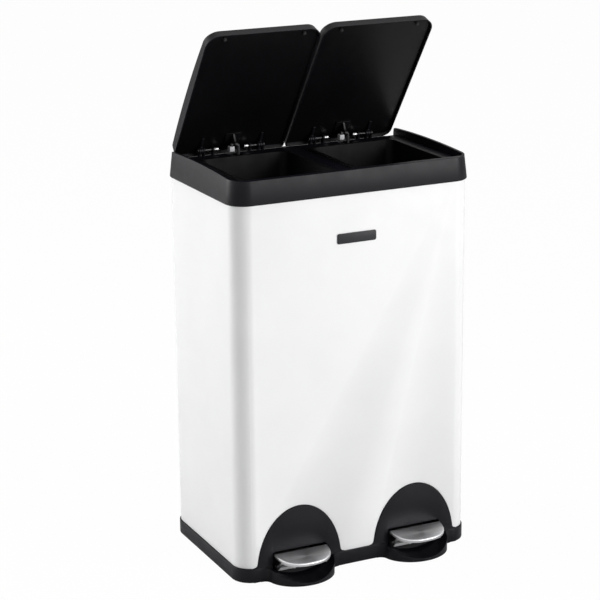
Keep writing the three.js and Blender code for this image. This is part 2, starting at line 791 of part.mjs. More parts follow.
function lid(side, name) {
  const group = new THREE.Group();
  group.position.set(0, hingeY, hingeZ);
  group.rotation.x = -lidOpening * degree;
  const outer = side < 0 ? -1 : 1;
  group.add(
    piece(`lid_${name}`, onHinge(lidShell(side)), 'lidCharcoal'),
    piece(`lid_liner_${name}`, onHinge(lidLiner(side)), 'lidCharcoal'),
    piece(`lid_crank_${name}`, onHinge(lidCrank(side)), 'blackSteel'),
    piece(`lid_bumper_${name}_outer`, onHinge(lidBumper(side, outer)), 'rubber'),
    piece(`lid_bumper_${name}_inner`, onHinge(lidBumper(side, -outer)), 'rubber'),
  );
  return group;
}

// A headed pin through the ears and the knuckle, with a collar at its far end.
function hingePins(side, name) {
  return [['outer', side], ['inner', -side]].map(([place, end]) => {
    const x = side * linkX + (end * knuckleSpacing) / 2;
    const at = (along) => [x + end * along, hingeY, hingeZ];
    const head = knuckleWidth / 2 + slideGap + earWidth + seatGap;
    const shank = roundBar(hingePinRadius, at(head + pinHeadThick / 2), at(1 - hingePinReach));
    const cap = roundBar(pinHeadRadius, at(head + pinHeadThick), at(head));
    const collar = roundBar(pinCollarRadius, at(pinCollarLength - hingePinReach), at(-hingePinReach));
    return piece(`hinge_pin_${name}_${place}`, shank.add(cap).add(collar), 'zincSteel');
  });
}

// ---------------------------------------------------------------- push rods

// A round rod along points in one upright plane, mitred where it bends.
function bentRod(points, y, radius, sides = 10) {
  const rings = points.map(([x, z], i) => {
    const [ax, az] = points[Math.max(i - 1, 0)];
    const [bx, bz] = points[Math.min(i + 1, points.length - 1)];
    const length = Math.hypot(bx - ax, bz - az);
    const across = [-(bz - az) / length, (bx - ax) / length];
    return Array.from({ length: sides }, (_, k) => {
      const angle = (-2 * Math.PI * k) / sides;
      const out = radius * Math.cos(angle);
      return [x + across[0] * out, y + radius * Math.sin(angle), z + across[1] * out];
    });
  });
  return loft(rings);
}

function pushRod(side) {
  const x = side * linkX;
  const bend = rodRadius * 1.6;
  const line = x + rodOffset;
  const tail = x - rodTailLength;
  const points = [[tail, hookZ]];
  for (let i = 0; i <= 4; i += 1) {
    const angle = (i * Math.PI) / 8;
    points.push([line - bend + bend * Math.sin(angle), hookZ + bend - bend * Math.cos(angle)]);
  }
  for (let i = 0; i <= 4; i += 1) {
    const angle = (i * Math.PI) / 8;
    points.push([line - bend + bend * Math.cos(angle), rodTopZ - bend + bend * Math.sin(angle)]);
  }
  points.push([tail, rodTopZ]);
  return bentRod(points, rodY, rodRadius);
}

function rodTopClip(side) {
  const x = side * linkX - crankWidth / 2 - slideGap;
  const z = rodTopZ + topClipSide / 2;
  const block = roundedRectangle(rodY - topClipSide / 2, rodY + topClipSide / 2,
    z - topClipHeight, z, 1.5);
  const solid = alongX(block, x - topClipWidth, x, 3);
  const hole = circle(rodY, rodTopZ, rodRadius + pinGap);
  return solid.subtract(alongX(hole, x - topClipWidth - 1, x + 1, 6));
}

function rodLowClip(side) {
  const x = side * linkX - leverEar / 2 - slideGap;
  const solid = alongX(circle(rodY, hookZ, lowClipRadius), x - lowClipThick, x, 8);
  const hole = circle(rodY, hookZ, rodRadius + pinGap);
  return solid.subtract(alongX(hole, x - lowClipThick - 1, x + 1, 6));
}

function rodBush(side) {
  const x = side * linkX + rodOffset;
  const top = guideHeight + guideThick + seatGap;
  let solid = alongZ(circle(x, rodY, bushRadius), guideHeight - 2, top, 8);
  solid = solid.add(alongZ(circle(x, rodY, bushFlange), top, top + 1.5, 8));
  return solid.subtract(alongZ(circle(x, rodY, rodRadius + pinGap), guideHeight - 3, top + 2, 6));
}

function rod(side, name) {
  const group = new THREE.Group();
  group.add(
    piece(`push_rod_${name}`, pushRod(side), 'zincSteel'),
    piece(`rod_top_clip_${name}`, rodTopClip(side), 'lightNylon'),
    piece(`rod_low_clip_${name}`, rodLowClip(side), 'lightNylon'),
  );
  return group;
}

// ---------------------------------------------------------------- pedals

// Height of the underside of the pedal plate above a point of the lever.
function plateUnder(y) {
  return plateTop - plateSheet - seatGap - plateSlope * (plateBack - y);
}

// Side view of the lever strap: from the rod over the pivot to the slot, then up under the plate.
function strapSide(top, bottom) {
  const rise = plateBack - 18;
  const end = plateBack - plateReach + leverFrontEnd;
  const line = [
    [rodY - 12, hookZ + 3],
    [pivotY, pivotZ + 2],
    [plateBack + 12, strapAtSlot],
    [plateBack - 4, strapAtSlot],
    [rise, plateUnder(rise) - seatGap],
    [end, plateUnder(end) - seatGap],
  ];
  const upper = line.map(([y, z]) => [y, z + top]);
  const lower = line.map(([y, z]) => [y, z + bottom]).reverse();
  return polygon([...upper, ...lower]);
}

// Plan of the strap: wide under the plate, then tapered and led across to the rod.
function strapPlan(x, link, inset) {
  const front = leverFrontWidth / 2 - inset;
  const middle = barrelLength / 2 - inset;
  const rear = leverRearWidth / 2 - inset;
  const half = [
    [x, front - 15, plateFront + 8], [x, front - 5, plateFront + 20],
    [x, front - 1.5, plateFront + 26], [x, front, plateFront + 32], [x, front, plateBack + 22],
    [x, middle, pivotY - 14], [x, middle, pivotY + 10],
    [link, rear, pivotY + 66], [link, rear, rodY],
  ];
  const right = half.map(([centre, dx, y]) => [centre + dx, y]);
  const left = half.map(([centre, dx, y]) => [centre - dx, y]).reverse();
  return polygon([...right, ...left]);
}

function pedalLever(side) {
  const x = side * pedalX;
  const link = side * linkX;
  const reach = leverFrontWidth;
  const height = plateTop;
  const skin = alongX(strapSide(0, -leverFlange), x - reach, x + reach)
    .intersect(alongZ(strapPlan(x, link, 0), 0, height));
  const hollow = alongX(strapSide(-leverSheet, -leverFlange * 2), x - reach, x + reach)
    .intersect(alongZ(strapPlan(x, link, leverSheet), 0, height));
  const barrel = alongX(circle(pivotY, pivotZ, barrelRadius),
    x - barrelLength / 2, x + barrelLength / 2, 8);
  const ear = alongX(slotShape(rodY - 30, hookZ, rodY, hookZ, leverFlange / 2),
    link - leverEar / 2, link + leverEar / 2, 6);
  const eye = alongX(circle(rodY, hookZ, leverEarRadius),
    link - leverEar / 2, link + leverEar / 2, 8);
  let solid = skin.subtract(hollow).add(barrel).add(ear).add(eye);
  const axleHole = circle(pivotY, pivotZ, axleRadius + pinGap);
  solid = solid.subtract(alongX(axleHole, x - reach, x + reach, 8));
  const hook = slotShape(rodY - pinGap, hookZ, rodY + pinGap, hookZ, rodRadius + pinGap);
  solid = solid.subtract(alongX(hook, link - leverEar, link + leverEar, 6));
  for (const end of [-1, 1]) {
    const hole = circle(x + (end * screwSpacing) / 2, screwY, screwRadius + pinGap);
    solid = solid.subtract(alongZ(hole, 0, height, 5));
  }
  return solid;
}

// Outline of a pedal plate: straight at the back, a full curve towards the toe.
function plateRing(inset, z) {
  const steps = 26;
  const power = 2 / plateSquareness;
  return Array.from({ length: steps + 1 }, (_, i) => {
    const angle = (Math.PI * i) / steps;
    const across = Math.sign(Math.cos(angle)) * Math.abs(Math.cos(angle)) ** power;
    const ahead = Math.abs(Math.sin(angle)) ** power;
    return [-(plateWidth / 2 - inset) * across, -inset - (plateReach - 2 * inset) * ahead, z];
  });
}

function pedalPlate(side, name) {
  const inside = plateSheet;
  const solid = loft([
    plateRing(inside + plateRound, -plateSheet),
    plateRing(inside, -plateSheet - plateRound),
    plateRing(inside, -plateLip),
    plateRing(0, -plateLip),
    plateRing(0, -plateRound),
    plateRing(plateRound * 0.3, -plateRound * 0.3),
    plateRing(plateRound, 0),
  ]);
  const mesh = piece(`pedal_plate_${name}`, solid, 'brushedSteel');
  mesh.position.set(side * pedalX, plateBack, plateTop);
  mesh.rotation.x = plateTilt * degree;
  return mesh;
}

function pedalScrew(side, end) {
  const x = side * pedalX + (end * screwSpacing) / 2;
  const top = plateUnder(screwY);
  const head = top - leverSheet - 3 * seatGap;
  const shank = alongZ(circle(x, screwY, screwRadius), head - 1, top, 5);
  return shank.add(alongZ(circle(x, screwY, screwHeadRadius), head - screwHeadThick, head, 6));
}

function pedal(side, name) {
  const group = new THREE.Group();
  group.add(
    pedalPlate(side, name),
    piece(`pedal_lever_${name}`, pedalLever(side), 'zincSteel'),
    piece(`pedal_screw_${name}_outer`, pedalScrew(side, side), 'zincSteel'),
    piece(`pedal_screw_${name}_inner`, pedalScrew(side, -side), 'zincSteel'),
  );
  return group;
}

function leverAxle(side) {
  const x = side * pedalX;
  const outer = barrelLength / 2 + slideGap + cheekThick;
  const end = outer + seatGap + axleClipThick + 1;
  const shank = roundBar(axleRadius, [x - outer - seatGap - 1, pivotY, pivotZ],
    [x + end, pivotY, pivotZ]);
  const head = roundBar(axleClipRadius, [x - outer - seatGap - axleClipThick, pivotY, pivotZ],
    [x - outer - seatGap, pivotY, pivotZ]);
  return shank.add(head);
}

function axleClip(side) {
  const inner = side * pedalX + barrelLength / 2 + slideGap + cheekThick + seatGap;
  const ring = alongX(circle(pivotY, pivotZ, axleClipRadius), inner, inner + axleClipThick, 8);
  const hole = circle(pivotY, pivotZ, axleRadius + pinGap);
  return ring.subtract(alongX(hole, inner - 1, inner + axleClipThick + 1, 8));
}

// ---------------------------------------------------------------- assembly

const bin = new THREE.Group();
bin.add(base(), ...feet(), bodyShell(), badge(), topFrame());
for (const [side, name] of [[-1, 'left'], [1, 'right']]) {
  bin.add(
    piece(`bucket_${name}`, bucket(side), 'bucketGrey'),
    lid(side, name),
    ...hingePins(side, name),
    rod(side, name),
    piece(`rod_bush_${name}`, rodBush(side), 'lightNylon'),
    pedal(side, name),
    piece(`lever_axle_${name}`, leverAxle(side), 'zincSteel'),
    piece(`lever_axle_clip_${name}`, axleClip(side), 'zincSteel'),
  );
}

// The outline's front is the toe guards, its rear the open lids: the origin goes midway.
bin.updateMatrixWorld(true);
const outline = new THREE.Box3().setFromObject(bin, true);
bin.position.y = -(outline.min.y + outline.max.y) / 2;

const part = new THREE.Group();
part.add(bin);
export default part;
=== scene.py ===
"""Looks of the double recycling bin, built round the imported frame.

Lengths are millimetres in the bin's own frame (X right, Y back from the middle of the steel body,
Z up from the floor). to_row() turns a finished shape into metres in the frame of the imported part.
"""
import math

import bmesh
import bpy
from mathutils import Matrix, Vector


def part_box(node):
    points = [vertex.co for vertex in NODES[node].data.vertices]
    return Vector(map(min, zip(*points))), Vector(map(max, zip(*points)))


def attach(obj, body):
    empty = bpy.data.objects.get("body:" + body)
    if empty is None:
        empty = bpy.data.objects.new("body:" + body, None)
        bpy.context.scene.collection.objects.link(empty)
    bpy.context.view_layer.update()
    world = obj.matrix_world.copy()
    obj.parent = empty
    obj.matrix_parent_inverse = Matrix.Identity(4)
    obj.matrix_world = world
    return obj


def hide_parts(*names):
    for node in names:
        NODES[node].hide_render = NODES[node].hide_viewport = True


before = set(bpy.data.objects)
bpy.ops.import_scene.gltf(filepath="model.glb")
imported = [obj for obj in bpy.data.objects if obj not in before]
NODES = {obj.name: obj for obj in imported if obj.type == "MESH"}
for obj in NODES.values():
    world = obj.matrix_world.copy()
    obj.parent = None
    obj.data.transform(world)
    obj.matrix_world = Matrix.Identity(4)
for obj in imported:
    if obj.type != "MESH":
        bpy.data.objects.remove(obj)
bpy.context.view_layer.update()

MM = 0.001
SIDES = (("left", -1), ("right", 1))
ENDS = (("l", -1), ("r", 1))  # the two hinge knuckles of a lid


def box_mm(node):
    """The lowest and the highest corner of a node, in millimetres."""
    low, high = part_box(node)
    return low / MM, high / MM


# The middle of the steel body is at y = 0 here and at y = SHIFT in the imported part.
BODY_LOW, BODY_HIGH = box_mm("body_shell")
SHIFT = (BODY_LOW.y + BODY_HIGH.y) / 2
TO_ROW = Matrix.Translation((0, SHIFT * MM, 0)) @ Matrix.Scale(MM, 4)

# ------------------------------------------------------------------ sizes

# They are the solids' own, except where a comment says otherwise, and rounded edges are finer here.

# Fits
SEAT_GAP = 0.3  # between faces that rest on each other
PIN_GAP = 0.3  # round a pin in its hole
SLIDE_GAP = 0.5  # beside a moving face
CLEAR = 1.0  # by which a cutting tool reaches past what it cuts
SUNK = 1.0  # depth of a joined piece's hidden end under the face that hides it

# Steel body
BODY_W = 404.0
BODY_D = 262.0
BODY_R = 30.0
BODY_WALL = 1.0
BODY_TOP = 612.0
FRONT = -BODY_D / 2

# Badge
BADGE_W = 66.0
BADGE_H = 16.0
BADGE_R = 3.0
BADGE_THICK = 1.2
BADGE_Z = BODY_TOP - 79.0

# Moulded base
BASE_LOW = 1.5  # underside above the floor
BASE_FLOOR = 5.0  # top of the base's own floor
BASE_TOP = 25.0
BASE_PROUD = 2.2  # band in front of the steel
BAND_EDGE = 1.4  # rounded edges of the band
EDGE_SHARE = 0.3  # of a rounded edge, left at its middle
FOOT_X = BODY_W / 2 - 40.0
FOOT_Y = BODY_D / 2 - 40.0
FOOT_R = 12.0
FOOT_RECESS = 2.2

# Arched panels, toe guards and pedal slots
PEDAL_X = BODY_W / 2 - 100.5
ARCH_HALF = 72.5
ARCH_TOP = 116.0
ARCH_SPRING = 15.0  # height of the arch's widest level
ARCH_FILLET = 6.0  # where the arch meets the band
ARCH_THICK = 5.0
ARCH_PROUD = 1.2
ARCH_GAP = 0.5
TOE_HALF = 55.5
TOE_REACH = 48.6  # in front of the steel
TOE_FLARE = 12.0
TOE_MEET_X = 0.97  # shares of the half width and the reach where the flare meets the oval
TOE_MEET_Y = 0.25
TOE_LOW = 6.0  # height at the front
TOE_HIGH = 24.0  # height at the sides
SLOT_W = 93.0
SLOT_LOW = 16.6
SLOT_TOP = 46.5
SLOT_R = 2.5

# Cheeks that hold the levers' axles
PIVOT_Y = FRONT + 81.0
PIVOT_Z = 28.0
AXLE_R = 3.0
CHEEK_X = 30.5  # inner face from the lever's middle
CHEEK_THICK = 3.0
CHEEK_R = 7.4
CHEEK_FOOT = 12.0

# Top frame
FRAME_LOW = BODY_TOP - 12.0
FRAME_FRONT = BODY_TOP + 24.5  # rim at the front
FRAME_RISE = 4.4  # arch of the sides above their ends
FRAME_BACK = 2.0  # rim at the rear above the rim at the front
FRAME_PROUD = 2.6
FRAME_DRAFT = 5.0
DRAFT_SPARE = 3.0  # above the arch's middle, where the whole draft is reached
FRAME_WALL = 4.0
FRAME_LAND = 8.0  # wall at the front
FRAME_EDGE = ((2.0, 0.0), (1.2, 0.2), (0.6, 0.6), (0.2, 1.2), (0.0, 2.0))  # inset and rise
DECK = BODY_TOP + 16.5
DECK_THICK = 3.0
LEDGE = DECK - 4.0
HINGE_Y = BODY_D / 2 - 19.5
HINGE_Z = DECK + 7.5
LEDGE_Y = HINGE_Y - 4.0  # front edge of the rear ledge
RIM_END = HINGE_Y + 1.0  # end of the arched sides
RIM_DROP = 3.0  # length over which they fall to the ledge
RECESS_R = 14.0
MOUTH_BRIDGE = 40.0  # deck between the two mouths
MOUTH_W = BODY_W / 2 - 31.0 - MOUTH_BRIDGE / 2
MOUTH_X = (MOUTH_BRIDGE + MOUTH_W) / 2
MOUTH_FRONT = FRONT + 21.0
MOUTH_BACK = HINGE_Y - 40.5
MOUTH_R = 16.0

# Buckets
BUCKET_SEAT = DECK + SEAT_GAP
BUCKET_GAP = 0.7
BUCKET_WALL = 1.8
BUCKET_TAPER = 11.0  # each side, from rim to bottom
BUCKET_LOW = 60.0
BUCKET_FOOT = 6.0  # rounding at the bottom
BUCKET_RIM = 5.0
BUCKET_EDGE = ((0.0, 1.2), (0.35, 2.05), (1.2, 2.4))  # inset and rise along the rim's edges

# Lids
LID_GAP = 3.0  # between the two lids
LID_W = BODY_W / 2 - 9.0 - LID_GAP / 2
LID_REACH = HINGE_Y - FRONT + 3.0  # in front of the hinge line
LID_REAR = 14.0  # behind it
LID_LOW = FRAME_FRONT + 1.3  # lower edge of a lid that is shut
LID_HIGH_H = 23.0
LID_HIGH_PLACE = 90.0  # highest level before the hinge line
LID_FRONT_H = 14.4
LID_DRAFT = 2.5
LID_ROUND = 3.0
LID_CROWN = 3.0
LID_WALL = 2.4
LID_FRONT_R = 24.0
LID_REAR_R = 14.0
LID_INNER_R = 5.0  # rear corner beside the other lid, tighter than in the solids
LID_OPEN = 54.5  # degrees
SKIRT_SHARE = 0.6  # of the rounding, inside the skirt
SKIRT_EDGE = 0.5
FLAT_INSET = 75.0  # innermost ring of a lid's underside
CROWN_RINGS = (8, 12, 22, 34, 48, 62, 78)  # insets of the rings that carry the crown
UNDER_RINGS = (FLAT_INSET, 45, 22)

# Lid liners and hinges
LINER_RECESS = 4.0
LINER_THICK = 2.0
LINER_EDGE = ((0.6, 0.0), (0.1, 0.4))  # inset and rise
LINK_X = (LID_GAP + LID_W) / 2  # cranks and rods, under the middle of each lid
KNUCKLE_X = 51.0  # from the middle of a lid
KNUCKLE_W = 4.0
KNUCKLE_R = 5.0
RIB_H = 5.0
RIB_LENGTH = 17.0
EAR_W = 2.6
EAR_R = 5.2
EAR_FRONT = LEDGE_Y + 0.5  # ends of the ear's foot
EAR_BACK = HINGE_Y + 4.0
EAR_HEAD = (-17, 214)  # degrees, ends of the ear's round head
PIN_R = 2.0
PIN_REACH = 29.0  # from its knuckle towards the crank
COLLAR_LENGTH = 8.0
COLLAR_R = 3.0  # 0.2 more than in the solids, which it covers

# Push rods and their guides
CRANK_R = 16.0
ROD_Y = HINGE_Y - CRANK_R * math.cos(math.radians(LID_OPEN / 2))
ROD_BESIDE = 6.5  # to the right of its crank
BUSH_R = 4.3
GUIDE_HALF = 10.0
GUIDE_LOW = DECK - 27.5
GUIDE_THICK = 3.0
NOTCH_HALF = 10.5  # slot for the crank in the deck
NOTCH_AHEAD = 10.1
NOTCH_REAR = LEDGE_Y - 4.0
TOP_CLIP_H = 15.0
SADDLE_DROP = 4.5  # top of the clip below the rod's upper end; the solid clip reaches past it

# Pedals
PLATE_W = 90.0
PLATE_REACH = 44.0
PLATE_BACK = FRONT - 3.9
PLATE_TOP = 44.5
PLATE_LIP = 4.8  # lower than in the solids
PLATE_SHEET = 1.5
PLATE_EDGE = 1.8  # rounding of the upper edge
PLATE_INSIDE = ((1.6, 0.0), (0.5, 0.5), (0.0, 1.6))  # inset and drop along the inner bend
PLATE_SQUARENESS = 2.5  # 2 is an ellipse
PLATE_TILT = 8.0  # degrees, down towards the toe
SOLID_TILT = 3.4  # the same in the solids
APRON_W = 83.0  # the bar below the plate is not in the solids
APRON_LOW = 16.9
APRON_HIGH = 25.8
APRON_THICK = 2.0
APRON_AHEAD = 4.0  # front face before the plate's back edge


def rim_line(y):
    """Height of the arched top edge of the frame's sides."""
    along = y / (BODY_D / 2)
    return FRAME_FRONT + FRAME_BACK * (along + 1) / 2 + FRAME_RISE * (1 - along * along)


def lid_height(y):
    """Height of a lid's skirt, whose top edge is a flat arch from front to rear."""
    share = (HINGE_Y - LID_HIGH_PLACE - y) / (LID_REACH - LID_HIGH_PLACE)
    return LID_HIGH_H - (LID_HIGH_H - LID_FRONT_H) * share * share


# ------------------------------------------------------------------ meshes

WELD = 1e-6  # metres
FLAT_ANGLE = 0.4  # degrees, below which two faces count as one


def new_object(name, data):
    obj = bpy.data.objects.new(name, data)
    bpy.context.scene.collection.objects.link(obj)
    return obj


def loft(name, rings, start=None, end=None):
    """A closed skin through rings of equally many points, with a fan or a flat face at each end."""
    bm = bmesh.new()
    rows = [[bm.verts.new(p) for p in ring] for ring in rings]
    count = len(rings[0])
    for low, high in zip(rows, rows[1:]):
        for i in range(count):
            j = (i + 1) % count
            bm.faces.new((low[i], low[j], high[j], high[i]))
    for row, tip, flip in ((rows[0], start, True), (rows[-1], end, False)):
        if tip is None:
            bm.faces.new(row[::-1] if flip else row)
            continue
        apex = bm.verts.new(tip)
        for i in range(count):
            j = (i + 1) % count
            bm.faces.new((row[j], row[i], apex) if flip else (row[i], row[j], apex))
    bmesh.ops.recalc_face_normals(bm, faces=bm.faces)
    mesh = bpy.data.meshes.new(name)
    bm.to_mesh(mesh)
    bm.free()
    return new_object(name, mesh)


def prism(name, outline, axis, low, high):
    """An outline of two coordinates, in axis order, standing between two planes of the third."""
    place = "xyz".index(axis)

    def ring(plane):
        return [(*point[:place], plane, *point[place:]) for point in outline]

    return loft(name, [ring(low), ring(high)])


def block(name, x0, x1, y0, y1, z0, z1):
    return prism(name, [(x0, y0), (x1, y0), (x1, y1), (x0, y1)], "z", z0, z1)


def bar(name, radius, axis, centre, low, high, sides=40):
    """A round bar along an axis; centre holds its other two coordinates."""
    ring = arc(*centre, radius, 0, 360, sides)[:-1]
    return prism(name, ring, axis, low, high)


def apply_modifiers(obj):
    depsgraph = bpy.context.evaluated_depsgraph_get()
    mesh = bpy.data.meshes.new_from_object(obj.evaluated_get(depsgraph))
    obj.modifiers.clear()
    old = obj.data
    obj.data = mesh
    mesh.name = old.name
    bpy.data.meshes.remove(old)


def combine(obj, tools, operation):
    """Applies the tools to the object and removes them."""
    for tool in tools:
        modifier = obj.modifiers.new("combine", "BOOLEAN")
        modifier.operation = operation
        modifier.solver = "MANIFOLD"
        modifier.object = tool
    apply_modifiers(obj)
    for tool in tools:
        mesh = tool.data
        bpy.data.objects.remove(tool)
        bpy.data.meshes.remove(mesh)
    return obj


def cut(obj, *tools):
    return combine(obj, tools, "DIFFERENCE")


def join(obj, *tools):
    return combine(obj, tools, "UNION")


def keep(obj, tool):
    return combine(obj, (tool,), "INTERSECT")


def to_row(obj, turn=None):
    """Takes a shape, turned if a turn is given, from the bin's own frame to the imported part's."""
    obj.data.transform(TO_ROW @ turn if turn else TO_ROW)


def soften(obj, width, segments=2, angle=32):
    """Rounds edges sharper than angle degrees by width millimetres and shades the rest smooth."""
    bm = bmesh.new()
    bm.from_mesh(obj.data)
    bmesh.ops.remove_doubles(bm, verts=bm.verts, dist=WELD)
    flat = math.radians(FLAT_ANGLE)
    bmesh.ops.dissolve_limit(bm, angle_limit=flat, verts=bm.verts, edges=bm.edges)
    bm.to_mesh(obj.data)
    bm.free()
    if width:
        modifier = obj.modifiers.new("edges", "BEVEL")
        modifier.width = width * MM
        modifier.segments = segments
        modifier.limit_method = "ANGLE"
        modifier.angle_limit = math.radians(angle)
        modifier.use_clamp_overlap = True
        apply_modifiers(obj)
    for polygon in obj.data.polygons:
        polygon.use_smooth = True
    obj.data.set_sharp_from_angle(angle=math.radians(angle))


def finish_piece(obj, body, look, nodes=()):
    """Gives a piece its material, its body and the nodes that it stands for."""
    obj.data.materials.clear()
    obj.data.materials.append(look)
    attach(obj, body)
    if nodes:
        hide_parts(*nodes)


# ------------------------------------------------------------------ outlines

FILLET_STEPS = 8
ARCH_STEPS = 24
CORNER_STEPS = 12
LEAST_RADIUS = 0.5


def arc(cx, cy, radius, start, end, steps):
    """Points on a circle from one angle to another, in degrees."""
    angles = [math.radians(start + (end - start) * i / steps) for i in range(steps + 1)]
    return [(cx + radius * math.cos(angle), cy + radius * math.sin(angle)) for angle in angles]


def bend(start, corner, end, steps):
    """A hollow curve between two points, whose tangents there meet in the corner."""
    points = []
    for i in range(steps + 1):
        t = i / steps
        shares = ((1 - t) ** 2, 2 * (1 - t) * t, t * t)
        pairs = (zip(shares, values) for values in zip(start, corner, end))
        points.append(tuple(sum(share * value for share, value in pair) for pair in pairs))
    return points


def rounded(x0, x1, y0, y1, front, rear, inset=0.0, steps=18, side_steps=1):
    """A rectangle with a radius for its front corners and one, or a left and a right, for its rear."""
    left = x0 + inset
    right = x1 - inset
    near = y0 + inset
    far = y1 - inset
    rear_left, rear_right = rear if isinstance(rear, tuple) else (rear, rear)
    radii = (front, rear_left, rear_right)
    front, rear_left, rear_right = (max(radius - inset, LEAST_RADIUS) for radius in radii)
    ahead = near + front
    behind_left = far - rear_left
    behind_right = far - rear_right
    between = [i / side_steps for i in range(1, side_steps)]
    points = arc(right - rear_right, behind_right, rear_right, 0, 90, steps)
    points += arc(left + rear_left, behind_left, rear_left, 90, 180, steps)
    points += [(left, behind_left + (ahead - behind_left) * share) for share in between]
    points += arc(left + front, ahead, front, 180, 270, steps)
    points += arc(right - front, ahead, front, 270, 360, steps)
    points += [(right, ahead + (behind_right - ahead) * share) for share in between]
    return points


def body_ring(grow, z):
    """The body's rounded rectangle, grown or shrunk, at one height."""
    half = BODY_W / 2
    return [(x, y, z) for x, y in rounded(-half, half, FRONT, -FRONT, BODY_R, BODY_R, -grow)]


def body_block(name, grow, low, high):
    return loft(name, [body_ring(grow, low), body_ring(grow, high)])


def mouth_outline(x, grow=0.0):
    """One of the two openings in the deck, which the bucket's rings follow."""
    half = MOUTH_W / 2
    return rounded(x - half, x + half, MOUTH_FRONT, MOUTH_BACK, MOUTH_R, MOUTH_R, -grow, CORNER_STEPS)


def arch_outline(x, grow, low):
    """An elliptical arch whose feet run out into the band in a hollow curve."""
    half = ARCH_HALF + grow
    rise = ARCH_TOP - ARCH_SPRING + grow
    band = BASE_TOP + grow
    start = math.asin((band + ARCH_FILLET - ARCH_SPRING) / rise)
    foot = half + ARCH_FILLET
    side = half * math.cos(start)
    right = bend((foot, band), (half, band), (side, band + ARCH_FILLET), FILLET_STEPS)
    for i in range(1, ARCH_STEPS):
        angle = start + (math.pi / 2 - start) * i / ARCH_STEPS
        right.append((half * math.cos(angle), ARCH_SPRING + rise * math.sin(angle)))
    left = [(-across, z) for across, z in reversed(right)]
    outline = [(foot, low)] + right + [(0, ARCH_SPRING + rise)] + left + [(-foot, low)]
    return [(x + across, z) for across, z in outline]


# ------------------------------------------------------------------ materials

GRAIN_DEPTH = 0.00006  # metres
BRUSH_STRENGTH = 0.35
NOISE_RANGE = (0.25, 0.75)  # where nearly all of a noise texture lies
TINT_RANGE = (0.3, 0.7)  # the part of it over which a colour changes


def material(name, **values):
    """A material whose shader has the given constants; an underscore in a key stands for a space."""
    made = bpy.data.materials.new(name)
    made.use_nodes = True
    shader = made.node_tree.nodes["Principled BSDF"]
    for key, value in values.items():
        shader.inputs[key.replace("_", " ")].default_value = value
    return made, made.node_tree, shader


def coordinates(tree, scale=(1, 1, 1)):
    place = tree.nodes.new("ShaderNodeTexCoord")
    mapping = tree.nodes.new("ShaderNodeMapping")
    mapping.inputs["Scale"].default_value = scale
    tree.links.new(place.outputs["Object"], mapping.inputs["Vector"])
    return mapping.outputs["Vector"]


def noise(tree, vector, scale, detail):
    node = tree.nodes.new("ShaderNodeTexNoise")
    node.inputs["Scale"].default_value = scale
    node.inputs["Detail"].default_value = detail
    tree.links.new(vector, node.inputs["Vector"])
    return node.outputs["Fac"]


def spread(tree, value, low, high):
    """A number between low and high that follows the value."""
    node = tree.nodes.new("ShaderNodeMapRange")
    node.inputs["From Min"].default_value, node.inputs["From Max"].default_value = NOISE_RANGE
    node.inputs["To Min"].default_value = low
    node.inputs["To Max"].default_value = high
    tree.links.new(value, node.inputs["Value"])
    return node.outputs["Result"]


def tint(tree, value, low, high):
    """A colour between low and high that follows the value."""
    node = tree.nodes.new("ShaderNodeValToRGB")
    darker, lighter = node.color_ramp.elements
    darker.position, lighter.position = TINT_RANGE
    darker.color = (*low, 1)
    lighter.color = (*high, 1)
    tree.links.new(value, node.inputs["Fac"])
    return node.outputs["Color"]


def bump(tree, shader, value, strength, distance):
    node = tree.nodes.new("ShaderNodeBump")
    node.inputs["Strength"].default_value = strength
    node.inputs["Distance"].default_value = distance
    tree.links.new(value, node.inputs["Height"])
    tree.links.new(node.outputs["Normal"], shader.inputs["Normal"])


def grained(name, low, high, rough, grain, strength, **values):
    """A moulded or coated surface: slight cloudiness in colour and gloss under a fine even grain."""
    made, tree, shader = material(name, **values)
    place = coordinates(tree)
    cloud = noise(tree, place, scale=9, detail=4)
    tree.links.new(tint(tree, cloud, low, high), shader.inputs["Base Color"])
    gloss = noise(tree, place, scale=60, detail=3)
    tree.links.new(spread(tree, gloss, *rough), shader.inputs["Roughness"])
    bump(tree, shader, noise(tree, place, grain, detail=2), strength, GRAIN_DEPTH)
    return made


def brushed(name, low, high, rough, scale, depth, **values):
    """Metal with fine lines drawn along X and a slow change of gloss."""
    made, tree, shader = material(name, Metallic=1.0, **values)
    lines = noise(tree, coordinates(tree, scale), scale=1, detail=5)
    slow = noise(tree, coordinates(tree), scale=30, detail=2)
    tree.links.new(tint(tree, lines, low, high), shader.inputs["Base Color"])
    tree.links.new(spread(tree, slow, *rough), shader.inputs["Roughness"])
    bump(tree, shader, lines, BRUSH_STRENGTH, depth)
    return made


def painted_shade_on_top(made, gloss):
    """Painted shade: lowers the reflection of faces that look up in the world, so that tops such as the
    deck look darker.
    """
    tree = made.node_tree
    specular = tree.nodes["Principled BSDF"].inputs["Specular IOR Level"]
    geometry = tree.nodes.new("ShaderNodeNewGeometry")
    facing = tree.nodes.new("ShaderNodeSeparateXYZ")
    tree.links.new(geometry.outputs["Normal"], facing.inputs["Vector"])
    tree.links.new(spread(tree, facing.outputs["Z"], specular.default_value, gloss), specular)


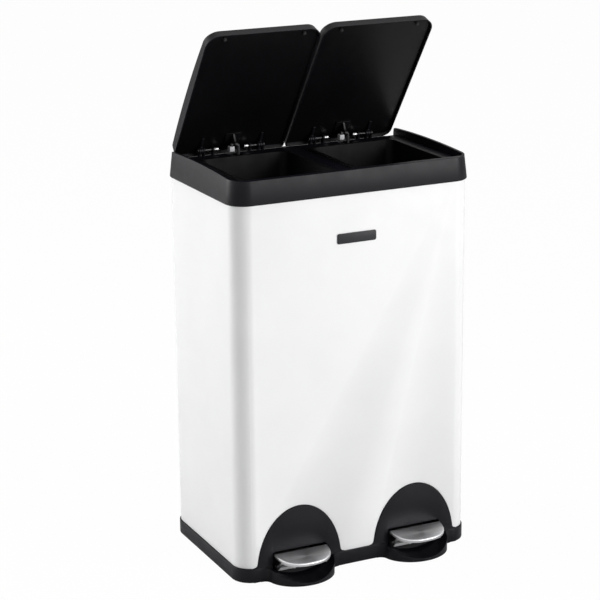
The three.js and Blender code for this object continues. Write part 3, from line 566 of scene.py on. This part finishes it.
WHITE = grained(
    "white_coat", low=(0.80, 0.80, 0.805), high=(0.83, 0.83, 0.835), rough=(0.44, 0.54),
    grain=700, strength=0.10)
CHARCOAL = grained(
    "charcoal_plastic", low=(0.0030, 0.0029, 0.0046), high=(0.0046, 0.0044, 0.0066), rough=(0.38, 0.48),
    grain=1100, strength=0.25, Specular_IOR_Level=0.18)
# painted shade: the charcoal's faces that look up reflect less, so the deck and ledge look darker
painted_shade_on_top(CHARCOAL, gloss=0.05)
LID = grained(
    "lid_plastic", low=(0.0038, 0.0037, 0.0052), high=(0.0052, 0.0050, 0.0069), rough=(0.43, 0.47),
    grain=1100, strength=0.16, Specular_IOR_Level=0.13)
LINER = grained(
    "lid_liner_plastic", low=(0.0030, 0.0030, 0.0036), high=(0.0045, 0.0045, 0.0052), rough=(0.30, 0.38),
    grain=500, strength=0.05, Specular_IOR_Level=0.15)
BUCKET = grained(
    "bucket_plastic", low=(0.0016, 0.0016, 0.0021), high=(0.0024, 0.0024, 0.0030), rough=(0.46, 0.56),
    grain=800, strength=0.15, Specular_IOR_Level=0.07)
RUBBER = grained(
    "rubber", low=(0.010, 0.010, 0.010), high=(0.016, 0.016, 0.016), rough=(0.75, 0.90),
    grain=1500, strength=0.4)
NYLON = grained(
    "light_nylon", low=(0.55, 0.55, 0.57), high=(0.62, 0.62, 0.64), rough=(0.40, 0.50),
    grain=900, strength=0.15)
BADGE = grained(
    "badge_plate", low=(0.020, 0.0205, 0.0230), high=(0.026, 0.0265, 0.0290), rough=(0.34, 0.42),
    grain=900, strength=0.06, Specular_IOR_Level=0.24)
BLACK_STEEL = grained(
    "black_coated_steel", low=(0.0035, 0.0035, 0.0042), high=(0.0055, 0.0055, 0.0065), rough=(0.34, 0.44),
    grain=900, strength=0.1, Specular_IOR_Level=0.18)
# Painted light: a lighter, nearly matt copy of the strap's zinc, so that its front edge shows bright under
# the plate.
PAINTED_LIGHT_ZINC = grained(
    "zinc_with_painted_light", low=(0.66, 0.66, 0.67), high=(0.74, 0.74, 0.75), rough=(0.44, 0.54),
    grain=900, strength=0.1, Metallic=0.2)
BRUSHED = brushed(
    "brushed_pedal", low=(0.56, 0.56, 0.57), high=(0.72, 0.72, 0.73), rough=(0.32, 0.40),
    scale=(8, 900, 900), depth=0.00004, Anisotropic=0.5)
ZINC = brushed(
    "zinc_plate", low=(0.40, 0.40, 0.41), high=(0.56, 0.56, 0.57), rough=(0.32, 0.45),
    scale=(60, 260, 260), depth=0.00003)
DULL_ZINC = brushed(
    "dull_zinc_plate", low=(0.050, 0.050, 0.053), high=(0.080, 0.080, 0.084), rough=(0.40, 0.52),
    scale=(60, 260, 260), depth=0.00003)

# ------------------------------------------------------------------ body, badge


def build_shell():
    low = BASE_FLOOR + SEAT_GAP
    shell = body_block("shell", 0, low, BODY_TOP)
    tools = [body_block("inside", -BODY_WALL, low - CLEAR, BODY_TOP + CLEAR)]
    for _, side in SIDES:
        outline = arch_outline(side * PEDAL_X, ARCH_GAP, low - CLEAR)
        tools.append(prism("arch_cut", outline, "y", FRONT - CLEAR, FRONT + BODY_R))
    cut(shell, *tools)
    to_row(shell)
    soften(shell, width=0.25)
    finish_piece(shell, "bin", WHITE, ["body_shell"])


def build_badge():
    low = BADGE_Z - BADGE_H / 2
    outline = rounded(-BADGE_W / 2, BADGE_W / 2, low, low + BADGE_H, BADGE_R, BADGE_R, steps=8)
    back = FRONT - SEAT_GAP
    plate = prism("badge", outline, "y", back - BADGE_THICK, back)
    to_row(plate)
    soften(plate, width=0.3, segments=3)
    finish_piece(plate, "bin", BADGE, ["badge_plate"])


# ------------------------------------------------------------------ base

TOE_STEPS = 40
SCOOP_SIDES = 160


def toe_outline(x):
    """Half an oval in front of the band, flared into it on both sides."""
    band = FRONT - BASE_PROUD
    reach = TOE_REACH - BASE_PROUD
    edge = TOE_HALF + TOE_FLARE
    meeting = (x - TOE_HALF * TOE_MEET_X, band - reach * TOE_MEET_Y)
    flare = bend((x - edge, band), (x - TOE_HALF, band), meeting, FILLET_STEPS)
    first = math.asin(TOE_MEET_Y)
    oval = []
    for i in range(1, TOE_STEPS):
        angle = math.pi + first + (math.pi - 2 * first) * i / TOE_STEPS
        oval.append((x + TOE_HALF * math.cos(angle), band + reach * math.sin(angle)))
    mirrored = [(2 * x - across, y) for across, y in reversed(flare)]
    back = [(x + edge, band + SUNK), (x - edge, band + SUNK)]
    return flare + oval + mirrored + back


def band_block():
    """The band round the foot, with rounded edges above and below."""
    edge = [(BAND_EDGE, 0.0), (BAND_EDGE * EDGE_SHARE, BAND_EDGE * EDGE_SHARE), (0.0, BAND_EDGE)]
    rings = [body_ring(BASE_PROUD - inset, BASE_LOW + rise) for inset, rise in edge]
    rings += [body_ring(BASE_PROUD - inset, BASE_TOP - rise) for inset, rise in reversed(edge)]
    return loft("base_moulding", rings)


def toe_scoop(x):
    """The hollow that leaves room for the toe: a wide cylinder, deepest in the middle."""
    rise = TOE_HIGH - TOE_LOW
    radius = (TOE_HALF ** 2 + rise ** 2) / (2 * rise)
    front = FRONT - TOE_REACH - CLEAR
    return bar("scoop", radius, "y", (x, TOE_LOW + radius), front, FRONT, SCOOP_SIDES)


def pedal_slot(x):
    outline = rounded(x - SLOT_W / 2, x + SLOT_W / 2, SLOT_LOW, SLOT_TOP, SLOT_R, SLOT_R, steps=6)
    return prism("slot", outline, "y", FRONT - BASE_PROUD, FRONT + ARCH_THICK)


def lever_cheeks(x):
    """Two upright cheeks with a round top, one on each side of the lever's barrel."""
    low = BASE_LOW + SUNK
    head = arc(PIVOT_Y, PIVOT_Z, CHEEK_R, 0, 180, steps=20)
    outline = [(PIVOT_Y + CHEEK_FOOT, low)] + head + [(PIVOT_Y - CHEEK_FOOT, low)]
    starts = (x - CHEEK_X - CHEEK_THICK, x + CHEEK_X)
    return [prism("cheek", outline, "x", start, start + CHEEK_THICK) for start in starts]


def axle_hole(x):
    reach = CHEEK_X + CHEEK_THICK + CLEAR
    return bar("axle_hole", AXLE_R + PIN_GAP, "x", (PIVOT_Y, PIVOT_Z), x - reach, x + reach)


def foot_recess(x, y):
    return bar("foot_recess", FOOT_R + SEAT_GAP, "z", (x, y), BASE_LOW - CLEAR, BASE_LOW + FOOT_RECESS)


def build_base():
    places = [side * PEDAL_X for _, side in SIDES]
    panel_front = FRONT - ARCH_PROUD
    panel_back = panel_front + ARCH_THICK
    base = band_block()
    join(base, *[prism("toe", toe_outline(x), "z", BASE_LOW, TOE_HIGH) for x in places])
    cut(base, *[toe_scoop(x) for x in places])
    cut(base, body_block("pocket", SEAT_GAP, BASE_FLOOR, BASE_TOP + CLEAR))
    arches = [arch_outline(x, 0, BASE_LOW) for x in places]
    join(base, *[prism("arch", outline, "y", panel_front, panel_back) for outline in arches])
    cut(base, *[pedal_slot(x) for x in places])
    join(base, *[cheek for x in places for cheek in lever_cheeks(x)])
    cut(base, *[axle_hole(x) for x in places])
    cut(base, *[foot_recess(x, y) for x in (-FOOT_X, FOOT_X) for y in (-FOOT_Y, FOOT_Y)])
    to_row(base)
    soften(base, width=0.7, segments=3)
    finish_piece(base, "bin", CHARCOAL, ["base"])


# ------------------------------------------------------------------ top frame

RIM_STEPS = 40
DROP_STEPS = 12


def under_top_edge():
    """Everything under the frame's top edge, seen from the side."""
    reach = BODY_D
    start = FRONT - FRAME_PROUD
    fall = RIM_END - RIM_DROP
    places = [start + (fall - start) * i / RIM_STEPS for i in range(RIM_STEPS + 1)]
    points = [(-reach, FRAME_LOW - CLEAR), (-reach, rim_line(start))]
    points += [(y, rim_line(y)) for y in places]
    corner = (RIM_END, rim_line(RIM_END))
    points += bend(points[-1], corner, (RIM_END, LEDGE), DROP_STEPS)[1:]
    points += [(reach, LEDGE), (reach, FRAME_LOW - CLEAR)]
    return prism("under_edge", points, "x", -BODY_W, BODY_W)


def rim_block(top):
    """The frame's outer skin, drafted between its rounded lower edge and its arched top edge."""
    rings = [body_ring(FRAME_PROUD - inset, FRAME_LOW + rise) for inset, rise in FRAME_EDGE]
    rings.append(body_ring(FRAME_PROUD - FRAME_DRAFT, top))
    return keep(loft("rim_moulding", rings), under_top_edge())


def frame_hollows(top):
    """The seat on the steel, the room under ledge and deck, the recess over the deck and the ledge."""
    inner = BODY_W / 2 + FRAME_PROUD - FRAME_DRAFT - FRAME_WALL
    near = FRONT - FRAME_PROUD + FRAME_DRAFT + FRAME_LAND
    under_ledge = LEDGE - DECK_THICK
    under_deck = body_block("under_deck", -FRAME_WALL, under_ledge - CLEAR, DECK - DECK_THICK)
    ahead = block("ahead", -BODY_W, BODY_W, -BODY_D, LEDGE_Y - DECK_THICK, FRAME_LOW, top)
    recess = rounded(-inner, inner, near, BODY_D, RECESS_R, RECESS_R)
    return [
        body_block("seat", SEAT_GAP, FRAME_LOW - CLEAR, BODY_TOP + SEAT_GAP),
        body_block("hollow", -FRAME_WALL, FRAME_LOW - CLEAR, under_ledge),
        keep(under_deck, ahead),
        prism("recess", recess, "z", DECK, top + CLEAR),
        block("over_ledge", -inner, inner, LEDGE_Y, BODY_D + CLEAR, LEDGE, top + CLEAR)]


def rod_guide(x):
    """A wall under the ledge with a shelf, whose hole holds the rod's bush."""
    rear = LEDGE_Y - SUNK
    top = GUIDE_LOW + GUIDE_THICK
    left = x - GUIDE_HALF
    right = x + GUIDE_HALF
    guide = block("guide", left, right, NOTCH_REAR, rear, GUIDE_LOW, LEDGE - SUNK)
    join(guide, block("shelf", left, right, ROD_Y - GUIDE_HALF, rear, GUIDE_LOW, top))
    hole = bar("bush_hole", BUSH_R + PIN_GAP, "z", (x, ROD_Y), GUIDE_LOW - CLEAR, top + CLEAR)
    return cut(guide, hole)


def hinge_ears(x, end):
    """Ears on both sides of a knuckle, and a third that carries the long end of its pin."""
    foot = LEDGE - SUNK
    outline = [(EAR_BACK, foot)] + arc(HINGE_Y, HINGE_Z, EAR_R, *EAR_HEAD, steps=24) + [(EAR_FRONT, foot)]
    beside = (KNUCKLE_W + EAR_W) / 2 + SLIDE_GAP
    before_collar = PIN_REACH - COLLAR_LENGTH - SLIDE_GAP - EAR_W / 2
    middles = (x - beside, x + beside, x - end * before_collar)
    return [prism("ear", outline, "x", middle - EAR_W / 2, middle + EAR_W / 2) for middle in middles]


def pin_hole(x):
    return bar("pin_hole", PIN_R + PIN_GAP, "x", (HINGE_Y, HINGE_Z), x - PIN_REACH, x + PIN_REACH)


def build_frame():
    top = rim_line(0) + DRAFT_SPARE
    links = [side * LINK_X for _, side in SIDES]
    knuckles = [(link + end * KNUCKLE_X, end) for link in links for _, end in ENDS]
    rim = rim_block(top)
    cut(rim, *frame_hollows(top))
    mouths = [prism("mouth", mouth_outline(side * MOUTH_X), "z", FRAME_LOW, top) for _, side in SIDES]
    front = ROD_Y - NOTCH_AHEAD
    notches = [block("notch", link - NOTCH_HALF, link + NOTCH_HALF, front, NOTCH_REAR, FRAME_LOW, top)
               for link in links]
    cut(rim, *mouths, *notches)
    guides = [rod_guide(link + ROD_BESIDE) for link in links]
    ears = [ear for x, end in knuckles for ear in hinge_ears(x, end)]
    join(rim, *guides, *ears)
    cut(rim, *[pin_hole(x) for x, _ in knuckles])
    to_row(rim)
    soften(rim, width=0.8, segments=3)
    finish_piece(rim, "bin", CHARCOAL, ["top_frame"])


# ------------------------------------------------------------------ buckets

FOOT_STEPS = 6


def build_bucket(name, side):
    outer = -BUCKET_GAP
    inner = outer - BUCKET_WALL

    def ring(grow, z):
        return [(x, y, z) for x, y in mouth_outline(side * MOUTH_X, grow)]

    def foot(i, wall):
        angle = math.pi / 2 * i / FOOT_STEPS
        grow = outer - wall - BUCKET_TAPER - BUCKET_FOOT * (1 - math.sin(angle))
        return ring(grow, BUCKET_LOW + BUCKET_FOOT - (BUCKET_FOOT - wall) * math.cos(angle))

    rings = [foot(i, 0) for i in range(FOOT_STEPS + 1)]
    rings += [ring(outer, BUCKET_SEAT), ring(BUCKET_RIM, BUCKET_SEAT)]
    rings += [ring(BUCKET_RIM - inset, BUCKET_SEAT + rise) for inset, rise in BUCKET_EDGE]
    rings += [ring(inner + inset, BUCKET_SEAT + rise) for inset, rise in reversed(BUCKET_EDGE)]
    rings += [foot(i, BUCKET_WALL) for i in range(FOOT_STEPS, -1, -1)]
    bucket = loft(f"bucket_moulding_{name}", rings)
    to_row(bucket)
    soften(bucket, width=0)
    finish_piece(bucket, "bin", BUCKET, [f"bucket_{name}"])


# ------------------------------------------------------------------ lids

ROUND_STEPS = 6
LID_SIDE_STEPS = 24


def lid_span(side):
    inner = side * LID_GAP / 2
    outer = side * (LID_GAP / 2 + LID_W)
    return min(inner, outer), max(inner, outer)


def lid_ring(side, inset, height):
    """A ring round a lid; height gives its level above the lid's lower edge at a place and crown."""
    x0, x1 = lid_span(side)
    near = HINGE_Y - LID_REACH
    far = HINGE_Y + LID_REAR
    rear = (LID_INNER_R, LID_REAR_R) if side > 0 else (LID_REAR_R, LID_INNER_R)
    points = []
    for x, y in rounded(x0, x1, near, far, LID_FRONT_R, rear, inset, CORNER_STEPS, LID_SIDE_STEPS):
        across = (x - (x0 + x1) / 2) / ((x1 - x0) / 2)
        along = (y - (near + far) / 2) / ((far - near) / 2)
        crown = LID_CROWN * max(0, 1 - across * across) * max(0, 1 - along * along)
        points.append((x, y, LID_LOW + height(y, crown)))
    return points


def crowned(drop):
    return lambda y, crown: lid_height(y) + crown - drop


def arched(drop):
    return lambda y, crown: lid_height(y) - drop


def level(height):
    return lambda y, crown: height


def lid_turn():
    """The turn of a lid about its hinge from shut to open."""
    hinge = Matrix.Translation((0, HINGE_Y, HINGE_Z))
    return hinge @ Matrix.Rotation(math.radians(-LID_OPEN), 4, "X") @ hinge.inverted()


def build_lid(name, side):
    x0, x1 = lid_span(side)
    mid_x = (x0 + x1) / 2
    mid_y = HINGE_Y + (LID_REAR - LID_REACH) / 2
    crest = LID_LOW + lid_height(mid_y) + LID_CROWN
    rings = [lid_ring(side, inset, crowned(LID_WALL)) for inset in UNDER_RINGS]
    rings += [
        lid_ring(side, LID_DRAFT + LID_ROUND + LID_WALL, arched(LID_WALL)),
        lid_ring(side, LID_DRAFT + LID_WALL, arched(LID_WALL + LID_ROUND * SKIRT_SHARE)),
        lid_ring(side, LID_WALL, level(SKIRT_EDGE)),
        lid_ring(side, LID_WALL - SKIRT_EDGE, level(0)),
        lid_ring(side, SKIRT_EDGE, level(0)),
        lid_ring(side, 0, level(SKIRT_EDGE))]
    for i in range(ROUND_STEPS + 1):
        angle = math.pi / 2 * i / ROUND_STEPS
        inset = LID_DRAFT + LID_ROUND * (1 - math.cos(angle))
        rings.append(lid_ring(side, inset, arched(LID_ROUND * (1 - math.sin(angle)))))
    rings += [lid_ring(side, inset, crowned(0)) for inset in CROWN_RINGS]
    shell = loft(f"lid_moulding_{name}", rings, (mid_x, mid_y, crest - LID_WALL), (mid_x, mid_y, crest))
    to_row(shell, lid_turn())
    soften(shell, width=0, angle=40)
    finish_piece(shell, f"lid_{name}", LID, [f"lid_{name}"])


def build_liner(name, side):
    """The smooth panel inside a lid, whose edge follows the skirt's draft."""
    steepest = LID_DRAFT / (LID_FRONT_H - LID_WALL - LID_ROUND * SKIRT_SHARE)

    def inset(rise):
        return LID_WALL + SEAT_GAP + steepest * rise

    top = LINER_RECESS + LINER_THICK
    rings = [lid_ring(side, FLAT_INSET, level(LINER_RECESS))]
    rings += [lid_ring(side, inset(LINER_RECESS) + back, level(LINER_RECESS + rise))
              for back, rise in LINER_EDGE]
    rings += [lid_ring(side, inset(top), level(top)), lid_ring(side, FLAT_INSET, level(top))]
    liner = loft(f"liner_panel_{name}", rings)
    to_row(liner, lid_turn())
    soften(liner, width=0.4)
    finish_piece(liner, f"lid_{name}", LINER, [f"lid_liner_{name}"])


def build_ribs(name, side):
    """The two hinge knuckles of a lid, each with the rib that runs out into the liner."""
    under = LID_LOW + LINER_RECESS + LINER_THICK / 2
    rib_end = HINGE_Y - KNUCKLE_R - RIB_LENGTH
    outline = arc(HINGE_Y, HINGE_Z, KNUCKLE_R, 180, 360, steps=20)
    outline += [(HINGE_Y + KNUCKLE_R, under), (rib_end, under), (rib_end, under - RIB_H / 2),
                (HINGE_Y - KNUCKLE_R, under - RIB_H)]
    for letter, end in ENDS:
        x = side * LINK_X + end * KNUCKLE_X
        rib = prism(f"hinge_rib_{name}_{letter}", outline, "x", x - KNUCKLE_W / 2, x + KNUCKLE_W / 2)
        cut(rib, pin_hole(x))
        to_row(rib, lid_turn())
        soften(rib, width=0.7, segments=3)
        finish_piece(rib, f"lid_{name}", CHARCOAL)


def build_collars(name, side):
    """The bright spring collars that keep the two hinge pins in place."""
    for letter, end in ENDS:
        inner = side * LINK_X + end * (KNUCKLE_X - PIN_REACH)
        low, high = sorted((inner, inner + end * COLLAR_LENGTH))
        collar = bar(f"pin_collar_{name}_{letter}", COLLAR_R, "x", (HINGE_Y, HINGE_Z), low, high)
        to_row(collar)
        soften(collar, width=0.5)
        finish_piece(collar, "bin", ZINC)


# ------------------------------------------------------------------ finer copies of small solids

SMALL_ANGLE = 30


def tip_under_plate(obj):
    """Lowers what lies ahead of the slot by as much as the plate falls more steeply than its solid."""
    fall = math.tan(math.radians(PLATE_TILT)) - math.tan(math.radians(SOLID_TILT))
    back_edge = (PLATE_BACK + SHIFT) * MM
    for vertex in obj.data.vertices:
        vertex.co.z -= fall * max(0.0, back_edge - vertex.co.y)


def node_copy(node):
    return new_object(f"fine_{node}", NODES[node].data.copy())


def softened_copy(node, body, look, width, tipped=False):
    """A finer stand-in for a small solid: the same form with its edges rounded."""
    copy = node_copy(node)
    if tipped:
        tip_under_plate(copy)
    soften(copy, width, angle=SMALL_ANGLE)
    finish_piece(copy, body, look, [node])


# ------------------------------------------------------------------ pedals

PLATE_STEPS = 60
EDGE_STEPS = 5


def plate_ring(inset, z):
    """Half a squared oval, from the plate's back edge round its front."""
    power = 2 / PLATE_SQUARENESS
    points = []
    for i in range(PLATE_STEPS + 1):
        angle = math.pi * i / PLATE_STEPS
        across = math.copysign(abs(math.cos(angle)) ** power, math.cos(angle))
        ahead = abs(math.sin(angle)) ** power
        points.append((-(PLATE_W / 2 - inset) * across, -inset - (PLATE_REACH - 2 * inset) * ahead, z))
    return points


def build_plate(name, side):
    rings = [plate_ring(PLATE_SHEET + inset, -PLATE_SHEET - drop) for inset, drop in PLATE_INSIDE]
    rings += [plate_ring(PLATE_SHEET, -PLATE_LIP), plate_ring(0, -PLATE_LIP)]
    for i in range(EDGE_STEPS + 1):
        angle = math.pi / 2 * i / EDGE_STEPS
        rings.append(plate_ring(PLATE_EDGE * (1 - math.cos(angle)), -PLATE_EDGE * (1 - math.sin(angle))))
    plate = loft(f"pedal_cap_{name}", rings)
    place = Matrix.Translation((side * PEDAL_X, PLATE_BACK, PLATE_TOP))
    to_row(plate, place @ Matrix.Rotation(math.radians(PLATE_TILT), 4, "X"))
    soften(plate, width=0.2)
    finish_piece(plate, f"pedal_{name}", BRUSHED, [f"pedal_plate_{name}"])


def build_lever(name, side):
    """The lever strap with its turned-down front edge, which shows as a bar below the plate."""
    softened_copy(f"pedal_lever_{name}", f"pedal_{name}", ZINC, width=0.3, tipped=True)
    left = side * PEDAL_X - APRON_W / 2
    front = PLATE_BACK - APRON_AHEAD
    apron = block(f"lever_apron_{name}", left, left + APRON_W, front, front + APRON_THICK,
                  APRON_LOW, APRON_HIGH)
    to_row(apron)
    soften(apron, width=0.5)
    # painted light: the strap's front edge takes the lighter zinc so that it shows bright in the plate's
    # shade
    finish_piece(apron, f"pedal_{name}", PAINTED_LIGHT_ZINC)


# ------------------------------------------------------------------ small pieces kept from the solids


def build_clip(name):
    """The top clip as a saddle: what would reach over the rod's bent end is left off."""
    node = f"rod_top_clip_{name}"
    clip = node_copy(node)
    rod_top = box_mm(f"push_rod_{name}")[1].z
    low = rod_top - SADDLE_DROP
    over = block("over_rod", -BODY_W, BODY_W, -BODY_D, BODY_D, low, rod_top + TOP_CLIP_H)
    to_row(over)
    soften(clip, width=0)
    cut(clip, over)
    soften(clip, width=0.4, angle=SMALL_ANGLE)
    finish_piece(clip, f"rod_{name}", NYLON, [node])


def small_copies(name):
    """The copies that belong to one lid, its rod and its pedal."""
    lid = f"lid_{name}"
    rod = f"rod_{name}"
    pedal = f"pedal_{name}"
    softened_copy(f"lid_crank_{name}", lid, BLACK_STEEL, width=0.25)
    for end in ("outer", "inner"):
        softened_copy(f"lid_bumper_{name}_{end}", lid, RUBBER, width=0.4)
        softened_copy(f"hinge_pin_{name}_{end}", "bin", DULL_ZINC, width=0.3)
        softened_copy(f"pedal_screw_{name}_{end}", pedal, ZINC, width=0.3, tipped=True)
    softened_copy(f"push_rod_{name}", rod, DULL_ZINC, width=0)
    softened_copy(f"rod_low_clip_{name}", rod, NYLON, width=0.3)
    softened_copy(f"rod_bush_{name}", "bin", NYLON, width=0.3)
    softened_copy(f"lever_axle_{name}", "bin", ZINC, width=0.3)
    softened_copy(f"lever_axle_clip_{name}", "bin", ZINC, width=0.3)


def small_pieces():
    """All pieces whose solids are fine as they are, apart from their edges."""
    for name, _ in SIDES:
        small_copies(name)
    for place in ("front_left", "front_right", "rear_left", "rear_right"):
        softened_copy(f"foot_{place}", "bin", RUBBER, width=0.3)


# ------------------------------------------------------------------ studio, in metres

AMBIENT = 0.25  # strength of the world as a light; the camera and reflections see 1
FLOOR_R = 60.0
FLOOR_THICK = 0.04
FLOOR_GREY = (0.82, 0.82, 0.82, 1)
FLOOR_GLOW = 0.975  # share of plain white in what the camera sees of the floor


def build_floor():
    floor = bar("floor", FLOOR_R, "z", (0, 0), -FLOOR_THICK, 0, sides=96)
    made, tree, shader = material("floor_paper", Base_Color=FLOOR_GREY, Roughness=0.9)
    grain = noise(tree, coordinates(tree), scale=400, detail=2)
    bump(tree, shader, grain, strength=0.02, distance=0.0001)
    light = tree.nodes.new("ShaderNodeEmission")
    light.inputs["Strength"].default_value = 1.0
    path = tree.nodes.new("ShaderNodeLightPath")
    share = tree.nodes.new("ShaderNodeMath")
    share.operation = "MULTIPLY"
    share.inputs[1].default_value = FLOOR_GLOW
    mix = tree.nodes.new("ShaderNodeMixShader")
    tree.links.new(path.outputs["Is Camera Ray"], share.inputs[0])
    tree.links.new(share.outputs[0], mix.inputs["Fac"])
    tree.links.new(shader.outputs["BSDF"], mix.inputs[1])
    tree.links.new(light.outputs["Emission"], mix.inputs[2])
    tree.links.new(mix.outputs["Shader"], tree.nodes["Material Output"].inputs["Surface"])
    floor.data.materials.append(made)


def build_world():
    """White for the camera, reflections and glass, and a dim light for everything else."""
    world = bpy.data.worlds.new("studio")
    bpy.context.scene.world = world
    world.use_nodes = True
    tree = world.node_tree
    background = tree.nodes["Background"]
    background.inputs["Color"].default_value = (1, 1, 1, 1)
    path = tree.nodes.new("ShaderNodeLightPath")
    seen = path.outputs["Is Camera Ray"]
    for output in ("Is Glossy Ray", "Is Transmission Ray"):
        larger = tree.nodes.new("ShaderNodeMath")
        larger.operation = "MAXIMUM"
        tree.links.new(seen, larger.inputs[0])
        tree.links.new(path.outputs[output], larger.inputs[1])
        seen = larger.outputs[0]
    strength = tree.nodes.new("ShaderNodeMapRange")
    strength.inputs["To Min"].default_value = AMBIENT
    strength.inputs["To Max"].default_value = 1.0
    tree.links.new(seen, strength.inputs["Value"])
    tree.links.new(strength.outputs["Result"], background.inputs["Strength"])


def area_light(name, at, target, size, power):
    data = bpy.data.lights.new(name, "AREA")
    data.shape = "RECTANGLE"
    data.size, data.size_y = size
    data.energy = power
    lamp = new_object(name, data)
    lamp.location = at
    lamp.rotation_euler = (Vector(target) - Vector(at)).to_track_quat("-Z", "Y").to_euler()


def build_lights():
    area_light("left_rear_softbox", at=(-2.7, 1.9, 1.2), target=(0, 0, 0.35), size=(1.8, 2.2), power=86)
    area_light("front_right_softbox", at=(2.0, -3.0, 1.4), target=(0, 0, 0.35), size=(2.0, 2.2), power=104)
    area_light("top_softbox", at=(0.2, 0.3, 3.2), target=(0, 0, 0.6), size=(2.2, 2.2), power=16)


# The camera that fits the photograph; the angles are degrees.
CAMERA_YAW = -25.901
CAMERA_PITCH = 16.164
CAMERA_ROLL = -0.578
CAMERA_DISTANCE = 3.108
TARGET_X = -0.032632
TARGET_Z = 0.404368
FOCAL_PX = 1966.0
IMAGE_PX = 600
SENSOR_MM = 36


def build_camera():
    yaw = math.radians(CAMERA_YAW)
    pitch = math.radians(CAMERA_PITCH)
    roll = math.radians(CAMERA_ROLL)
    back = Vector((math.sin(yaw) * math.cos(pitch), -math.cos(yaw) * math.cos(pitch), math.sin(pitch)))
    flat = Vector((math.cos(yaw), math.sin(yaw), 0))
    lift = back.cross(flat)
    right = math.cos(roll) * flat + math.sin(roll) * lift
    up = math.cos(roll) * lift - math.sin(roll) * flat
    target = Vector((TARGET_X, SHIFT * MM, TARGET_Z))
    data = bpy.data.cameras.new("camera")
    data.sensor_width = SENSOR_MM
    data.lens = FOCAL_PX / IMAGE_PX * SENSOR_MM
    camera = new_object("camera", data)
    turn = Matrix((right, up, back)).transposed().to_4x4()
    camera.matrix_world = Matrix.Translation(target + back * CAMERA_DISTANCE) @ turn
    bpy.context.scene.camera = camera


def main():
    bpy.context.scene.view_settings.view_transform = "Standard"
    build_camera()
    build_world()
    build_lights()
    build_floor()
    build_shell()
    build_badge()
    build_base()
    build_frame()
    for name, side in SIDES:
        build_bucket(name, side)
        build_lid(name, side)
        build_liner(name, side)
        build_ribs(name, side)
        build_plate(name, side)
        build_lever(name, side)
        build_collars(name, side)
        build_clip(name)
    small_pieces()


main()
